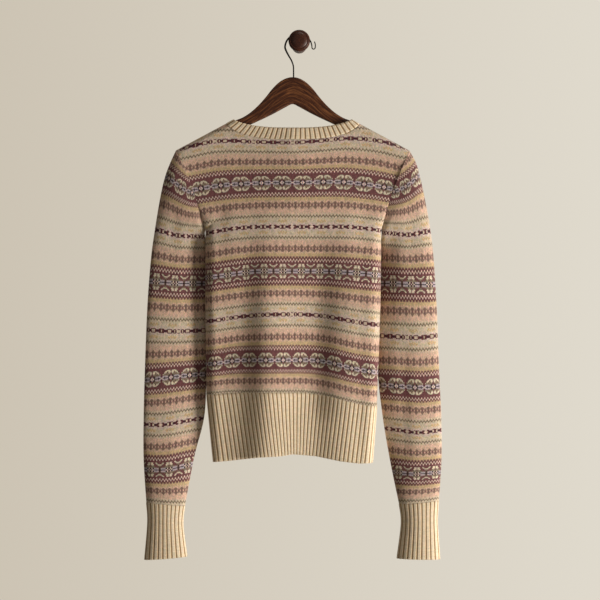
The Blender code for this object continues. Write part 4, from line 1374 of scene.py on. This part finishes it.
def set_world():
    """A pale glow behind the jumper, a little brighter to the right, and dimmer all round it."""
    world = bpy.data.worlds.new("studio")
    bpy.context.scene.world = world
    world.use_nodes = True
    tree = world.node_tree
    tree.nodes.clear()
    way = add(tree, "ShaderNodeTexCoord").outputs["Generated"]
    parts = add(tree, "ShaderNodeSeparateXYZ", [way]).outputs
    share = add(tree, MAP_RANGE, {"Value": parts[0], "From Min": -0.17, "From Max": 0.17})
    colour = add(tree, RAMP, [share], stops=[(0.0, "ccc3b3"), (1.0, "e0dacd")])
    behind = add(tree, MAP_RANGE, {"Value": parts[1], "From Min": 0.85, "From Max": 0.965, "To Min": AMBIENT})
    glow = add(tree, "ShaderNodeBackground", {"Color": colour, "Strength": behind})
    add(tree, "ShaderNodeOutputWorld", {"Surface": glow})


def pale_floor():
    work = bmesh.new()
    bmesh.ops.create_circle(work, cap_ends=True, segments=96, radius=FLOOR_RADIUS)
    for vertex in work.verts:
        vertex.co.z = FLOOR_Z
    mesh = bpy.data.meshes.new("floor")
    work.to_mesh(mesh)
    work.free()
    made, tree, shader = start_material("Pale painted floor")
    place = add(tree, "ShaderNodeTexCoord").outputs["Object"]
    noise = add(tree, NOISE, {"Vector": place, "Scale": 3.0, "Detail": 4.0})
    colour = add(tree, RAMP, [noise], stops=[(0.3, "cfc8bc"), (0.7, "d6cfc4")])
    feed(shader, {"Base Color": colour, "Roughness": 0.8})
    mesh.materials.append(made)
    put("floor", mesh)


# ---------------------------------------------------------------- assembly

# Each piece with the node that it replaces and its material slot. Cloth also has its size as it is cut or
# knitted flat, in metres, the area of that cut where it doesn't fill the rectangle, and what it hangs from
Piece = namedtuple("Piece", "name node slot flat area hangs_from", defaults=(None, None, None))
PANELS = ["knitted_back", "knitted_front"]
PIECES = (
    Piece("knitted_back", "back", "fair_isle_knit", (0.39, 0.45), 0.136, ["hanger"]),
    Piece("knitted_front", "front", "fair_isle_knit", (0.39, 0.45), 0.127, ["hanger"]),
    Piece("knitted_sleeve_left", "sleeve_left", "fair_isle_knit", (0.31, 0.61), 0.106, PANELS),
    Piece("knitted_sleeve_right", "sleeve_right", "fair_isle_knit", (0.31, 0.61), 0.106, PANELS),
    Piece("ribbed_hem_back", "hem_rib_back", "pale_rib", (0.305, 0.106), None, ["knitted_back"]),
    Piece("ribbed_hem_front", "hem_rib_front", "pale_rib", (0.305, 0.106), None, ["knitted_front"]),
    Piece("ribbed_neck", "neck_rib", "pale_rib", (0.56, 0.018), None, PANELS),
    Piece("ribbed_cuff_left", "cuff_left", "pale_rib", (0.14, 0.095), None, ["knitted_sleeve_left"]),
    Piece("ribbed_cuff_right", "cuff_right", "pale_rib", (0.14, 0.095), None, ["knitted_sleeve_right"]),
    Piece("hanger_wood", "hanger", "hanger_wood"),
    Piece("wire_hook", "hook", "hook_wire"),
    Piece("turned_peg", "peg", "peg_wood"),
)


def build_knitted(back, front):
    knit = fair_isle()
    for name, grids, stitches, lines, closed in (
        ("knitted_back", back, panel_map, BODY_COURSES, False),
        ("knitted_front", front, panel_map, BODY_COURSES, False),
        ("knitted_sleeve_left", sleeve(-1, LEFT_SLEEVE), sleeve_map, LEFT_SLEEVE_COURSES, True),
        ("knitted_sleeve_right", sleeve(1, RIGHT_SLEEVE), sleeve_map, RIGHT_SLEEVE_COURSES, True),
    ):
        piece = wall_mesh(name, grids, stitches(grids[0], lines), closed)
        piece.data.materials.append(knit)


def build_ribbed(back, front):
    pale = rib_wool()
    tree, inputs = rib_tree()
    for name, grids, band in (
        ("ribbed_hem_back", hem_rib(-1, back, BACK_TROUGHS), HEM),
        ("ribbed_hem_front", hem_rib(1, front, FRONT_TROUGHS), HEM),
        ("ribbed_neck", neck_band(back, front), NECK),
        ("ribbed_cuff_left", cuff(LEFT_SLEEVE, LEFT_CUFF), CUFF),
        ("ribbed_cuff_right", cuff(RIGHT_SLEEVE, RIGHT_CUFF), CUFF),
    ):
        piece = wall_mesh(name, grids, rib_map(grids[0], band.ribs, band.closed), band.closed)
        mark_ribs(piece, grids[0], band.ribs, band.closed)
        values = {"Rise": band.rise * MM, "Fullness": band.fullness, "Cloth": pale}
        bake_modifier(piece, tree, {inputs[name]: value for name, value in values.items()})


def declare(row):
    """Says of a piece what it rides on, and hides the plain part that it replaces."""
    piece = bpy.data.objects[row.name]
    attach(piece, "root")
    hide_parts(row.node)


def main():
    bpy.context.scene.view_settings.view_transform = "Standard"
    set_camera()
    set_world()
    pale_floor()
    set_lights()
    back = body_panel(-1, BACK_NECK, BACK_TROUGHS)
    front = body_panel(1, FRONT_NECK, FRONT_TROUGHS)
    build_knitted(back, front)
    build_ribbed(back, front)
    build_hanger(stained_wood("Stained beech, satin lacquer", "260f05", "47210c", "8c5831", "grain", 0.46))
    build_hook(black_wire())
    build_peg(stained_wood("Turned dark beech, satin lacquer", "2a0f06", "3c1a0c", "552a15", None, 0.48))
    for row in PIECES:
        declare(row)


main()
